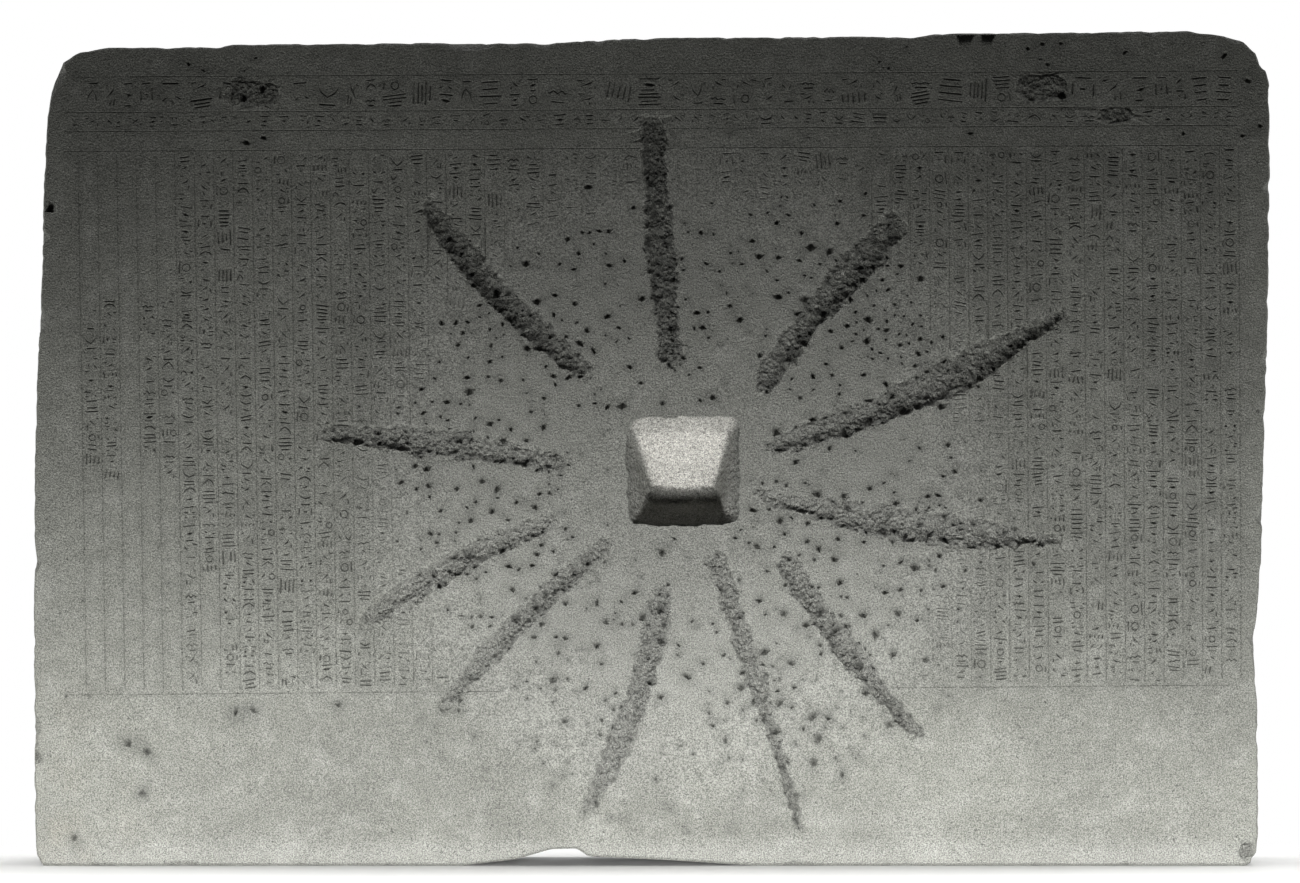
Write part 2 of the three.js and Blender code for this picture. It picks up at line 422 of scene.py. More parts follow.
@dataclass
class Inscription:
    """Two long rows and sixty narrow columns of worn marks, between ruled lines."""

    left: float = -0.6355
    right: float = 0.6505
    row_left: float = -0.652
    columns: int = 60
    lean: float = 0.0095  # how far the leftmost ruled line leans to the right on its way down
    row_heights: tuple[float, ...] = (0.874, 0.8345, 0.8135, 0.7917)  # at the left end
    row_rise: float = 0.0055  # the slope of the rows
    foot: float = 0.1895
    foot_rise: float = 0.0086
    line_width: float = 0.0012
    line_depth: float = 0.0005
    stroke_width: float = 0.0023
    stroke_depth: float = 0.0016
    worn_from: float = 0.285  # inside this distance from the socket nothing is left
    worn_to: float = 0.40  # outside this distance the cutting is whole
    # Ovals that were pecked out: x, z and the half sizes.
    erasures: tuple[tuple[float, float, float, float], ...] = (
        (-0.441, 0.855, 0.026, 0.0135), (0.432, 0.8615, 0.027, 0.0145), (0.514, 0.832, 0.018, 0.0080))
    oval: tuple[float, float, float, float] = (-0.3515, 0.864, 0.0245, 0.0115)  # one plain rounded frame
    seed: int = 41
    rng: random.Random = field(init=False)

    # How often each mark comes, in the order of Mark.
    SHARES = (12, 6, 30, 9, 8, 4, 10, 3, 9, 9)

    def __post_init__(self) -> None:
        """Seeds the marks."""
        self.rng = random.Random(self.seed)

    def erased(self, x: float, z: float) -> float:
        """How much a place belongs to a pecked-out oval, from 0 to 1."""
        if z < 0.80:
            return 0.0
        ragged = 0.16 * drift(x, z, 0.006, 31.0)
        reach = [(abs((x - cx) / w) ** 3 + abs((z - cz) / h) ** 3) ** (1 / 3)
                 for cx, cz, w, h in self.erasures]
        return 0.8 * (1 - smoothstep(0.85, 1.08, min(reach) + ragged))

    def row_z(self, row: int, x: float) -> float:
        """The height of a long ruled line at x."""
        return self.row_heights[row] + (x - self.row_left) * self.row_rise

    def foot_z(self, x: float) -> float:
        """The height of the lowest ruled line at x."""
        return self.foot + (x - self.row_left) * self.foot_rise

    def line_x(self, column: float, z: float) -> float:
        """Where the ruled line at the left of a column is at a height."""
        share = column / self.columns
        top = self.left + (self.right - self.left) * share
        down = (self.row_heights[3] - z) / (self.row_heights[3] - self.foot)
        return top + down * self.lean * (1 - 0.75 * share)

    def strength(self, survey: SlabSurvey, x: float, z: float) -> float:
        """How much of the cutting is left at a place, from 0 to 1."""
        reach = math.hypot(x - survey.socket_x, z - survey.socket_z)
        reach += 0.035 * drift(x, z, 0.16, 3.0) + 0.012 * drift(x, z, 0.03, 5.0)
        return smoothstep(self.worn_from, self.worn_to, reach)

    def carve(self, plan: FacePlan) -> int:
        """Cuts every line and mark.

        Args:
            plan: the face they are cut into.

        Returns:
            How many points the cutting added.
        """
        before = len(plan.points)
        self._rule_rows(plan)
        self._rule_columns(plan)
        self._plain_frame(plan)
        self._fill_rows(plan)
        self._fill_columns(plan)
        return len(plan.points) - before

    def _rule(self, plan: FacePlan, start: Point, end: Point, least: float = 0.12) -> None:
        """Rules a long line, broken off wherever it is worn away or its ground isn't free.

        Args:
            plan: the face it is cut into.
            start: one end.
            end: the other end.
            least: the strength under which nothing of the line is left.
        """
        length = math.dist(start, end)
        run = ((end[0] - start[0]) / length, (end[1] - start[1]) / length)

        def place(at: float) -> Point:
            """The place at a distance along the line, off it by a hair."""
            wobble = 0.00022 * drift(start[0] + at, start[1], 0.045, 17.0)
            return start[0] + run[0] * at - run[1] * wobble, start[1] + run[1] * at + run[0] * wobble

        def whole(at: float) -> bool:
            """Whether the line is there at a distance along it."""
            x, z = place(at)
            clear = plan.is_free([(x, z)], self.line_width) and not plan.is_sunk(x, z)
            return clear and self.strength(plan.survey, x, z) > least

        marks = np.arange(0.0, length, 0.003).tolist()
        run_start = None
        for at in [*marks, None]:
            if at is not None and whole(at):
                run_start = at if run_start is None else run_start
                last = at
            elif run_start is not None:
                if last - run_start > 0.008:
                    self._rule_length(plan, [place(t) for t in self._stops(run_start, last)])
                run_start = None

    @staticmethod
    def _stops(near: float, far: float) -> list[float]:
        """Distances along a line: its ends, a place close to each, and some between."""
        inner = np.linspace(near + 0.002, far - 0.002, max(2, round((far - near) / 0.045))).tolist()
        return [near, *inner, far]

    def _rule_length(self, plan: FacePlan, path: Sequence[Point]) -> None:
        """Cuts one unbroken length of a ruled line."""
        left = self.strength(plan.survey, *path[len(path) // 2])
        depth = self.line_depth * (0.5 + 0.5 * left)
        dirt = 0.10 + 0.26 * left
        plan.stroke(path, self.line_width, depth, dirt, gap=0.0001)

    def _rule_rows(self, plan: FacePlan) -> None:
        """Rules the long lines along the top and the one along the foot."""
        for row in range(len(self.row_heights)):
            start = (self.row_left, self.row_z(row, self.row_left))
            self._rule(plan, start, (self.right, self.row_z(row, self.right)), least=0.02)
        start = (self.row_left, self.foot_z(self.row_left))
        self._rule(plan, start, (self.right, self.foot_z(self.right)))

    def _plain_frame(self, plan: FacePlan) -> None:
        """Cuts one empty rounded frame in the upper row."""
        x, z, half_w, half_h = self.oval
        ring = []
        for angle in np.linspace(0, math.tau, 23)[:-1].tolist():
            c, s = math.cos(angle), math.sin(angle)
            u, v = (math.copysign(abs(part) ** 0.45, part) for part in (c, s))
            ring.append((x + half_w * u, z + half_h * v))
        plan.stroke(ring, self.line_width, self.stroke_depth, 0.8, closed=True)

    def _rule_columns(self, plan: FacePlan) -> None:
        """Rules the lines between the columns."""
        for column in range(self.columns + 1):
            x = self.line_x(column, self.row_heights[3])
            high = self.row_z(3, x) - 0.0022
            low = self.foot_z(x) + 0.0022
            self._rule(plan, (self.line_x(column, high), high), (self.line_x(column, low), low))

    def _cells(self, low: float, high: float, sizes: Sequence[float]) -> list[tuple[float, float]]:
        """Splits a length into cells: the middle and the size of each."""
        cells = []
        at = high
        while at - low > min(sizes):
            size = min(self.rng.choice(sizes), at - low)
            cells.append((at - size / 2, size))
            at -= size
        return cells

    def _fill_rows(self, plan: FacePlan) -> None:
        """Fills the two long rows, the upper with the larger marks."""
        for row, sizes in ((0, (0.020, 0.026, 0.034)), (1, (0.014, 0.018, 0.024))):
            for x, wide in self._cells(self.row_left + 0.004, self.right - 0.004, sizes):
                high, low = self.row_z(row, x) - 0.004, self.row_z(row + 1, x) + 0.004
                self._mark(plan, x, (high + low) / 2, wide - 0.004, high - low, 1.1 if row == 0 else 0.95)

    def _fill_columns(self, plan: FacePlan) -> None:
        """Fills the columns from under the rows to the foot, with the gaps that they have."""
        for column in range(self.columns):
            x = self.line_x(column + 0.5, 0.5)
            high, low = self.row_z(3, x) - 0.004, self.foot_z(x) + 0.004
            from_left = column + 1
            if from_left == 3:
                continue
            if from_left in (1, 2, 4, 5):
                high, low = 0.627, 0.427
            if from_left == 7:
                low = 0.322
            for z, tall in self._cells(low, high, (0.011, 0.014, 0.017, 0.021)):
                if self.rng.random() < 0.05:
                    continue
                wide = self.line_x(column + 1, z) - self.line_x(column, z)
                self._mark(plan, self.line_x(column + 0.5, z), z, wide - 0.0034, tall - 0.0010)

    def _mark(self, plan: FacePlan, x: float, z: float, wide: float, tall: float, scale: float = 1.0) -> None:
        """Cuts one cell's marks, whole or as two halves, as deep as the wear has left them."""
        left = self.strength(plan.survey, x, z)
        if left < 0.1 or self.rng.random() > 0.35 + left or self.erased(x, z) > 0:
            return
        halves = [(0.0, 0.0, 1.0, 1.0)]
        if self.rng.random() < 0.42:
            if wide > 1.15 * tall:
                halves = [(-0.26, 0.0, 0.50, 1.0), (0.26, 0.0, 0.50, 1.0)]
            elif tall > 0.011:
                halves = [(0.0, -0.26, 1.0, 0.48), (0.0, 0.26, 1.0, 0.48)]
        for ox, oz, sx, sz in halves:
            kind = self.rng.choices(list(Mark), self.SHARES)[0]
            lean = self.rng.gauss(0.0, 0.09)
            c, s = math.cos(lean), math.sin(lean)
            loose = 0.0 if kind is Mark.RING else 0.0005
            for path, closed, fat in self._paths(kind, wide * sx, tall * sz):
                moved = []
                for u, v in path:
                    u += self.rng.uniform(-loose, loose)
                    v += self.rng.uniform(-loose, loose)
                    moved.append((x + ox * wide + c * u - s * v, z + oz * tall + s * u + c * v))
                width = self.stroke_width * scale * fat * self.rng.uniform(0.7, 1.1)
                depth = self.stroke_depth * scale * fat * (0.35 + 0.65 * left) * self.rng.uniform(0.6, 1.1)
                dirt = (0.24 + 0.50 * left) * self.rng.uniform(0.6, 1.2)
                plan.stroke(moved, width, depth, dirt, closed, gap=0.0003)

    def _paths(self, kind: Mark, wide: float, tall: float) -> list[tuple[list[Point], bool, float]]:
        """The strokes of one mark about its middle: the path, if it closes, and its fatness."""
        half_w, half_t = wide / 2, tall / 2
        rng = self.rng
        flip = rng.choice((-1, 1))
        if kind is Mark.BARS:
            count = max(1, min(4, int(tall / 0.0036)))
            steps = [(i + 0.5) / count * 2 - 1 for i in range(count)]
            trims = [rng.uniform(0.55, 0.95) for _ in steps]
            return [([(-half_w * t, half_t * v), (half_w * t, half_t * v)], False, 1.0)
                    for v, t in zip(steps, trims)]
        if kind is Mark.POSTS:
            count = max(1, min(5, int(wide / 0.0042)))
            steps = [(i + 0.5) / count * 2 - 1 for i in range(count)]
            trims = [rng.uniform(0.5, 0.95) for _ in steps]
            return [([(half_w * u, -half_t * t), (half_w * u, half_t * t)], False, 1.0)
                    for u, t in zip(steps, trims)]
        if kind is Mark.SLANT:
            body = [(-0.66 * half_w * flip, -0.42 * half_t), (0.10 * half_w * flip, 0.20 * half_t),
                    (0.42 * half_w * flip, 0.62 * half_t)]
            head = [(0.52 * half_w * flip, 0.80 * half_t), (0.90 * half_w * flip, 0.66 * half_t)]
            near = [(0.16 * half_w * flip, -0.26 * half_t), (0.10 * half_w * flip, -0.80 * half_t)]
            far = [(0.52 * half_w * flip, -0.10 * half_t), (0.56 * half_w * flip, -0.80 * half_t)]
            cap = [(-0.85 * half_w * flip, 0.55 * half_t), (-0.35 * half_w * flip, 0.66 * half_t)]
            return [(body, False, 1.35), *((part, False, 0.8) for part in (head, near, far, cap))]
        if kind is Mark.BOWL:
            arc = [(half_w * 0.85 * u, half_t * (1.1 * u * u - 0.3) * flip) for u in (-1, -0.6, 0, 0.6, 1)]
            bar = [(-0.7 * half_w, -0.8 * half_t * flip), (0.7 * half_w, -0.8 * half_t * flip)]
            return [(arc, False, 1.0), (bar, False, 1.0)]
        if kind is Mark.RIPPLE:
            waves = [(half_w * 0.9 * (i / 3 - 1), half_t * 0.12 * (-1) ** i) for i in range(7)]
            low = [(-0.5 * half_w, -0.7 * half_t), (0.6 * half_w, -0.7 * half_t)]
            return [(waves, False, 0.9), (low, False, 1.0)]
        if kind is Mark.RING:
            reach = min(half_w, half_t, 0.006) * 0.72
            turns = np.linspace(0, math.tau, 9)[:-1].tolist()
            ring = [(reach * math.cos(a), reach * math.sin(a)) for a in turns]
            post = [(0.82 * half_w * flip, -0.8 * half_t), (0.82 * half_w * flip, 0.8 * half_t)]
            return [(ring, True, 0.8), (post, False, 0.9)]
        if kind is Mark.FRAME:
            u, v = 0.78 * half_w, 0.78 * half_t
            sides = [[(-u * 0.8, v), (u * 0.8, v)],
                     [(-u, v * 0.6), (-u, -v * 0.6)],
                     [(u, v * 0.6), (u, -v * 0.6)]]
            return [(side, False, 0.9) for side in sides] + [([(-u * 0.4, 0), (u * 0.4, 0)], False, 1.2)]
        if kind is Mark.DOTS:
            spots = [(-0.55, 0.45), (0.45, 0.5), (-0.05, -0.5), (0.7, -0.45)]
            return [([(half_w * a - 0.0011, half_t * b), (half_w * a + 0.0011, half_t * b)], False, 1.05)
                    for a, b in spots]
        if kind is Mark.WEDGE:
            body = [(-0.5 * half_w * flip, 0.1 * half_t), (0.5 * half_w * flip, -0.15 * half_t)]
            over = [(-0.8 * half_w, 0.78 * half_t), (0.8 * half_w, 0.78 * half_t)]
            under = [(-0.7 * half_w, -0.78 * half_t), (0.4 * half_w, -0.78 * half_t)]
            return [(body, False, 1.9), (over, False, 0.9), (under, False, 0.9)]
        rays = []
        for angle in (0.5, 1.35, 2.5):
            c, s = math.cos(angle), math.sin(angle) * flip
            ray = [(half_w * c * away, half_t * s * away) for away in (0.28, 0.85)]
            rays.append((ray, False, 1.0))
        foot = [(-0.7 * half_w, -0.75 * half_t * flip), (0.7 * half_w, -0.75 * half_t * flip)]
        return [*rays, (foot, False, 1.0)]


@dataclass
class Pitting:
    """The pits that pecking and wear have left, closer round the furrows and in some places."""

    # Where pits gather: x and z from the socket's middle, the radius of the place, the count.
    gatherings: tuple[tuple[float, float, float, int], ...] = (
        (-0.235, 0.155, 0.105, 90), (-0.300, 0.090, 0.060, 30), (-0.235, -0.010, 0.100, 60),
        (0.235, 0.180, 0.050, 130), (0.275, 0.140, 0.030, 60), (0.190, 0.115, 0.060, 60),
        (0.250, -0.120, 0.095, 85), (0.330, -0.080, 0.060, 40), (-0.085, -0.195, 0.080, 45),
        (-0.120, 0.235, 0.110, 50), (0.080, 0.235, 0.090, 50), (0.150, 0.300, 0.060, 22),
        (0.060, -0.170, 0.100, 45), (-0.190, -0.090, 0.080, 60), (0.330, 0.060, 0.070, 36),
        (-0.050, 0.120, 0.080, 30), (0.120, -0.030, 0.070, 26), (0.160, -0.260, 0.070, 22),
        (-0.560, 0.440, 0.090, 18), (-0.460, 0.300, 0.080, 14), (0.430, 0.440, 0.150, 20),
        (-0.500, 0.455, 0.040, 20), (0.330, 0.470, 0.090, 26), (0.600, 0.420, 0.060, 24),
    )
    # Single deep pits: x and z on the slab, and the radius.
    singles: tuple[tuple[float, float, float], ...] = (
        (-0.399, 0.641, 0.0062), (-0.500, 0.245, 0.0040), (-0.464, 0.243, 0.0045),
        (-0.461, 0.171, 0.0055), (-0.441, 0.173, 0.0050), (-0.580, 0.137, 0.0060),
        (-0.559, 0.127, 0.0060), (-0.564, 0.081, 0.0050), (-0.640, 0.031, 0.0045),
        (0.048, 0.5015, 0.0042), (-0.347, 0.179, 0.0040), (0.178, 0.167, 0.0060), (0.196, 0.164, 0.0055),
        (0.184, 0.142, 0.0060), (-0.212, 0.184, 0.0045), (-0.096, 0.161, 0.0045),
    )
    single_spread: float = 1.15  # how much wider a single pit is struck than it is listed
    gathered_least: float = 0.0027  # the radius of the smallest gathered pit
    gathered_more: float = 0.0044  # what the largest has over it
    wall: float = 0.0010  # the stone left between a pit and the smaller ones beside it
    furrow_pits: int = 520
    seed: int = 7

    def strike(self, plan: FacePlan, furrow: Callable[[float, float], float],
               inside: Callable[[float, float], bool]) -> int:
        """Strikes every pit.

        Args:
            plan: the face they are struck into.
            furrow: says how much a place belongs to a furrow, 0 to 1.
            inside: says whether a place is on the face and off its edges.

        Returns:
            The number of pits.
        """
        rng = random.Random(self.seed)
        survey = plan.survey
        struck = 0

        def strike_one(x: float, z: float, radius: float, share: float, dirt: float = 0.8) -> int:
            """Strikes one pit where it fits, and says how many were struck."""
            return int(inside(x, z) and plan.pit(x, z, radius, share * radius, rng, dirt))

        for x, z, radius in self.singles:
            struck += strike_one(x, z, radius * self.single_spread, 0.75, 1.0)
        for dx, dz, spread, count in self.gatherings:
            for _ in range(count):
                away = spread * math.sqrt(rng.random()) * 1.2
                angle = rng.uniform(0, math.tau)
                x = survey.socket_x + dx + away * math.cos(angle)
                z = survey.socket_z + dz + away * math.sin(angle)
                radius = self.gathered_least + self.gathered_more * rng.random() ** 1.5
                struck += strike_one(x, z, radius, 0.95, 0.80)
                for _ in range(rng.choice((0, 0, 1, 2))):
                    turn, smaller = rng.uniform(0, math.tau), radius * rng.uniform(0.6, 0.9)
                    apart = radius + smaller + self.wall
                    beside = (x + apart * math.cos(turn), z + apart * math.sin(turn))
                    struck += strike_one(*beside, smaller, 0.9, 0.80)
        for _ in range(self.furrow_pits * 12):
            x = survey.socket_x + rng.uniform(-0.46, 0.46)
            z = survey.socket_z + rng.uniform(-0.43, 0.43)
            if 0.005 < furrow(x, z) < 0.75:
                radius = 0.0018 + 0.0025 * rng.random() ** 2
                struck += strike_one(x, z, radius, 0.8)
        for _ in range(420):
            away = 0.40 * math.sqrt(rng.random())
            angle = rng.uniform(0, math.tau)
            x, z = survey.socket_x + away * math.cos(angle), survey.socket_z + away * math.sin(angle)
            radius = 0.0013 + 0.0020 * rng.random() ** 3
            struck += strike_one(x, z, radius, 0.7, 0.9)
        return struck


@dataclass
class Weathering:
    """A Geometry Nodes tree that roughens the finished skin inwards, by named amounts."""

    ripple_depth: float = 0.0005
    ripple_size: float = 0.045
    pecking_depth: float = 0.0042
    pecking_size: float = 0.0080
    dressing_depth: float = 0.0030
    dressing_size: float = 0.030
    seed: int = 12

    DETAIL = 2.0  # the detail of the ripple's and the dressing's noise

    @staticmethod
    def _math(tree: bpy.types.NodeTree, operation: str, *values: object,
              clamp: bool = False) -> bpy.types.NodeSocket:
        """The result of one operation on sockets or numbers."""
        node = tree.nodes.new("ShaderNodeMath")
        node.operation = operation
        node.use_clamp = clamp
        for slot, value in zip(node.inputs, values):
            if isinstance(value, bpy.types.NodeSocket):
                tree.links.new(value, slot)
            else:
                slot.default_value = value
        return node.outputs[0]

    def _texture(self, tree: bpy.types.NodeTree, kind: str, size: bpy.types.NodeSocket,
                 seed: bpy.types.NodeSocket, **settings: object) -> bpy.types.Node:
        """A solid texture of the mesh's own places, whose features have the given size."""
        texture = tree.nodes.new(kind)
        for name, value in settings.items():
            setattr(texture, name, value)
        tree.links.new(tree.nodes.new("GeometryNodeInputPosition").outputs[0], texture.inputs["Vector"])
        tree.links.new(seed, texture.inputs["W"])
        tree.links.new(self._math(tree, "DIVIDE", 1.0, size), texture.inputs["Scale"])
        return texture

    def _noise(self, tree: bpy.types.NodeTree, size: bpy.types.NodeSocket, seed: bpy.types.NodeSocket
               ) -> bpy.types.NodeSocket:
        """A noise from 0 to 1."""
        texture = self._texture(tree, "ShaderNodeTexNoise", size, seed, noise_dimensions="4D")
        texture.inputs["Detail"].default_value = self.DETAIL
        return texture.outputs[0]

    def _cells(self, tree: bpy.types.NodeTree, size: bpy.types.NodeSocket, seed: bpy.types.NodeSocket
               ) -> bpy.types.NodeSocket:
        """Struck hollows side by side, deepest in the middle of each."""
        texture = self._texture(tree, "ShaderNodeTexVoronoi", size, seed, voronoi_dimensions="4D")
        return self._math(tree, "SUBTRACT", 1.0, texture.outputs["Distance"], clamp=True)

    def tree(self) -> tuple[bpy.types.NodeTree, dict[str, str]]:
        """Builds the tree.

        Returns:
            The tree, and the identifier of each input by its name.
        """
        tree = bpy.data.node_groups.new("stone_weathering", "GeometryNodeTree")
        face = tree.interface
        face.new_socket("Geometry", in_out="INPUT", socket_type="NodeSocketGeometry")
        face.new_socket("Geometry", in_out="OUTPUT", socket_type="NodeSocketGeometry")
        names = ("Ripple Depth", "Ripple Size", "Pecking Depth", "Pecking Size",
                 "Dressing Depth", "Dressing Size", "Seed")
        sockets = {name: face.new_socket(name, in_out="INPUT", socket_type="NodeSocketFloat")
                   for name in names}
        sockets["Stone"] = face.new_socket("Stone", in_out="INPUT", socket_type="NodeSocketMaterial")
        inside = tree.nodes.new("NodeGroupInput")
        outside = tree.nodes.new("NodeGroupOutput")
        total = None
        for label, attribute in (("Ripple", "ripple"), ("Pecking", "pecked"), ("Dressing", "dressed")):
            mask = tree.nodes.new("GeometryNodeInputNamedAttribute")
            mask.data_type = "FLOAT"
            mask.inputs["Name"].default_value = attribute
            grain = self._cells if label == "Pecking" else self._noise
            part = grain(tree, inside.outputs[f"{label} Size"], inside.outputs["Seed"])
            for share in (mask.outputs["Attribute"], inside.outputs[f"{label} Depth"]):
                part = self._math(tree, "MULTIPLY", part, share)
            total = part if total is None else self._math(tree, "ADD", total, part)
        inward = tree.nodes.new("ShaderNodeVectorMath")
        inward.operation = "SCALE"
        tree.links.new(tree.nodes.new("GeometryNodeInputNormal").outputs[0], inward.inputs[0])
        tree.links.new(self._math(tree, "MULTIPLY", total, -1.0), inward.inputs["Scale"])
        move = tree.nodes.new("GeometryNodeSetPosition")
        realize = tree.nodes.new("GeometryNodeRealizeInstances")
        dress = tree.nodes.new("GeometryNodeSetMaterial")
        tree.links.new(inside.outputs["Geometry"], move.inputs["Geometry"])
        tree.links.new(inward.outputs[0], move.inputs["Offset"])
        tree.links.new(move.outputs[0], realize.inputs[0])
        tree.links.new(realize.outputs[0], dress.inputs["Geometry"])
        tree.links.new(inside.outputs["Stone"], dress.inputs["Material"])
        tree.links.new(dress.outputs[0], outside.inputs[0])
        return tree, {name: socket.identifier for name, socket in sockets.items()}

    def apply(self, piece: bpy.types.Object, stone: bpy.types.Material) -> None:
        """Roughens a piece and leaves the result as its plain mesh.

        Args:
            piece: the piece, whose mesh has the ripple, pecked and dressed attributes.
            stone: the material that the piece gets.
        """
        tree, inputs = self.tree()
        modifier = piece.modifiers.new("weathering", "NODES")
        modifier.node_group = tree
        values = {
            "Ripple Depth": self.ripple_depth, "Ripple Size": self.ripple_size,
            "Pecking Depth": self.pecking_depth, "Pecking Size": self.pecking_size,
            "Dressing Depth": self.dressing_depth, "Dressing Size": self.dressing_size,
            "Seed": float(self.seed), "Stone": stone,
        }
        for name, value in values.items():
            modifier[inputs[name]] = value
        graph = bpy.context.evaluated_depsgraph_get()
        mesh = bpy.data.meshes.new_from_object(piece.evaluated_get(graph))
        piece.modifiers.remove(modifier)
        old = piece.data
        piece.data = mesh
        bpy.data.meshes.remove(old)


@dataclass
class StoneSlab:
    """The one block: its carved face, its socket, its worn edges and its plain back."""

    survey: SlabSurvey
    inscription: Inscription
    pitting: Pitting
    weathering: Weathering
    edge_step: float = 0.0046
    socket_steps: int = 120
    arris: float = 0.0034
    arris_break: float = 0.0085  # how much deeper the worst stretches of the front edge are broken
    seed: int = 3
    # Where rows of points run round the sides and down the socket, as distances behind the face.
    side_rows: tuple[float, ...] = (0.0, 0.0012, 0.003, 0.006, 0.011, 0.020, 0.034, 0.050, 0.067,
                                    0.084, 0.099, 0.110, 0.116, 0.1188, 0.120)
    socket_rows: tuple[float, ...] = (0.0, 0.0020, 0.0045, 0.0075, 0.0105, 0.0135, 0.017, 0.021, 0.025,
                                      0.029, 0.033, 0.037, 0.041, 0.0445, 0.0455)
    floor_rings: tuple[float, ...] = (0.72, 0.42, 0.15)  # on the socket's floor, as shares of its size
    # The ground's points: how far apart they lie, and how much free ground each one needs.
    picked_ground: tuple[float, float] = (0.0029, 0.0010)
    worn_ground: tuple[float, float] = (0.0075, 0.0022)
    plain_ground: tuple[float, float] = (0.0125, 0.0040)
    dish_reach: float = 0.36  # the worn dish's radius, from the socket's middle
    furrow_reach: float = 0.48  # no furrow runs further from the socket's middle
    sunk_cut: float = 0.0021  # ground cut deeper than this is a furrow or the socket

    def _wander(self, x: float, z: float) -> Point:
        """Moves a place a little, so that what is read there gets ragged sides."""
        u = x + 0.0046 * drift(x, z, 0.011, 1.0) + 0.0030 * drift(x, z, 0.0046, 2.0)
        v = z + 0.0046 * drift(x, z, 0.011, 7.0) + 0.0030 * drift(x, z, 0.0046, 8.0)
        return u, v

    def _furrow(self, x: float, z: float) -> float:
        """How much a place belongs to a furrow, 0 to 1, with ragged sides."""
        if math.hypot(x - self.survey.socket_x, z - self.survey.socket_z) < 0.075:
            return 0.0
        return smoothstep(0.0018, 0.0040, self.survey.cut(*self._wander(x, z)))

    def _face_cut(self, x: float, z: float) -> float:
        """How far behind the plane of the face the carved surface lies, with ragged furrows."""
        if math.hypot(x - self.survey.socket_x, z - self.survey.socket_z) < 0.095:
            return self.survey.lip_cut
        return self.survey.cut(*self._wander(x, z))

    def _loop_normals(self, loop: np.ndarray) -> np.ndarray:
        """Unit vectors that point out of an anticlockwise loop, smoothed along it."""
        along = np.roll(loop, -1, axis=0) - np.roll(loop, 1, axis=0)
        normals = np.column_stack([along[:, 1], -along[:, 0]])
        for _ in range(3):
            normals = np.roll(normals, 1, axis=0) + 2 * normals + np.roll(normals, -1, axis=0)
        return normals / np.linalg.norm(normals, axis=1)[:, None]

    def _side_inset(self, x: float, z: float, behind: float, down: float) -> float:
        """How far a point of the sides is set in from the outline.

        Args:
            x: the outline point's x.
            z: the outline point's z.
            behind: the distance behind the face.
            down: 1 on the underside, 0 elsewhere; the underside stays flat enough to stand on.

        Returns:
            The inset in metres.
        """
        broken = smoothstep(0.15, 0.55, drift(x, z, 0.045, 11.0) + 0.35 * drift(x, z, 0.014, 12.0))
        front = self.arris + self.arris_break * broken * (1 - 0.6 * down)
        back = self.arris * 1.3
        from_back = self.survey.depth - behind
        inset = 0.0
        if behind < front:
            inset += 0.9 * front * (1 - behind / front) ** 1.4
        if from_back < back:
            inset += 0.9 * back * (1 - from_back / back) ** 1.4
        crest = max(0.0, drift(x, z, 0.022, 14.0) - 0.05) * 0.0028
        crest += max(0.0, drift(x, z, 0.0105, 15.0)) * 0.0016
        crest *= 0.55 + 0.45 * smoothstep(0.5 * self.survey.depth, 0.0, behind)
        return inset + crest * (1 - down)

    def _build_sides(self) -> tuple[np.ndarray, np.ndarray]:
        """The rows of points round the sides.

        Returns:
            An array of rows by points by (x, y, z), and 1 for each point on the underside.
        """
        loop = self.survey.outline(self.edge_step)
        normals = self._loop_normals(loop)
        down = np.clip((-normals[:, 1] - 0.75) / 0.2, 0, 1)
        rows = []
        for behind in self.side_rows:
            y = self.survey.front + behind
            insets = [self._side_inset(float(x), float(z), behind, float(d)) for (x, z), d in zip(loop, down)]
            moved = loop - normals * np.array(insets)[:, None]
            rows.append(np.column_stack([moved[:, 0], np.full(len(loop), y), moved[:, 1]]))
        return np.array(rows), down

    def _build_socket(self) -> tuple[np.ndarray, np.ndarray]:
        """The rings of points down the socket and in over its floor.

        Returns:
            An array of rings by points by (x, y, z), and how far each point gets the pale tone
            and painted light of the upper wall, which faces down to the low lamps, 0 to 1.
        """
        rings, bare = [], []
        last = self.survey.socket_depth
        turns = [math.tau * k / self.socket_steps for k in range(self.socket_steps)]
        for behind in self.socket_rows:
            x, z = self.survey.socket_middle(behind)
            up, right = (self.survey.socket_reach(turn, behind) for turn in (math.pi / 2, 0.0))
            lip = 0.0030 * (1 - min(1.0, behind / 0.006)) ** 2
            y = self.survey.front + self.survey.lip_cut + behind * (1 - self.survey.lip_cut / last)
            ring, shares = [], []
            for turn in turns:
                reach = self.survey.socket_reach(turn, behind) + lip
                u, v = reach * math.cos(turn), reach * math.sin(turn)
                rough = drift(x + u, z + v, 0.013, 30 + behind * 60)
                rough += 0.6 * drift(x + u, z + v, 0.005, behind * 150)
                rough += 1.4 * drift(x + u, z + v, 0.034, 40 + behind * 20)
                swell = 1 + 0.0025 * rough / reach
                ring.append((x + u * swell, y, z + v * swell))
                # The upper wall faces down to the low lamps and is painted light; the rest of the socket gets
                # a little of it.
                upper = smoothstep(0.62, 0.93, v / up) * (1 - smoothstep(0.88, 1.02, abs(u) / right))
                lower = 0.10 * smoothstep(0.004, 0.010, behind) + 0.14 * smoothstep(0.5, 0.9, -v / up)
                light = 0.62 + 0.38 * smoothstep(0.0095, 0.0135, behind)
                shares.append(max(lower, upper * light) * smoothstep(0, 0.003, behind))
            rings.append(ring)
            bare.append(shares)
        x, z = self.survey.socket_middle(last)
        for share in self.floor_rings:
            rings.append([(x + (px - x) * share, py, z + (pz - z) * share) for px, py, pz in rings[-1]])
            bare.append([0.5 * value + 0.2 for value in bare[-1]])
        return np.array(rings), np.array(bare)

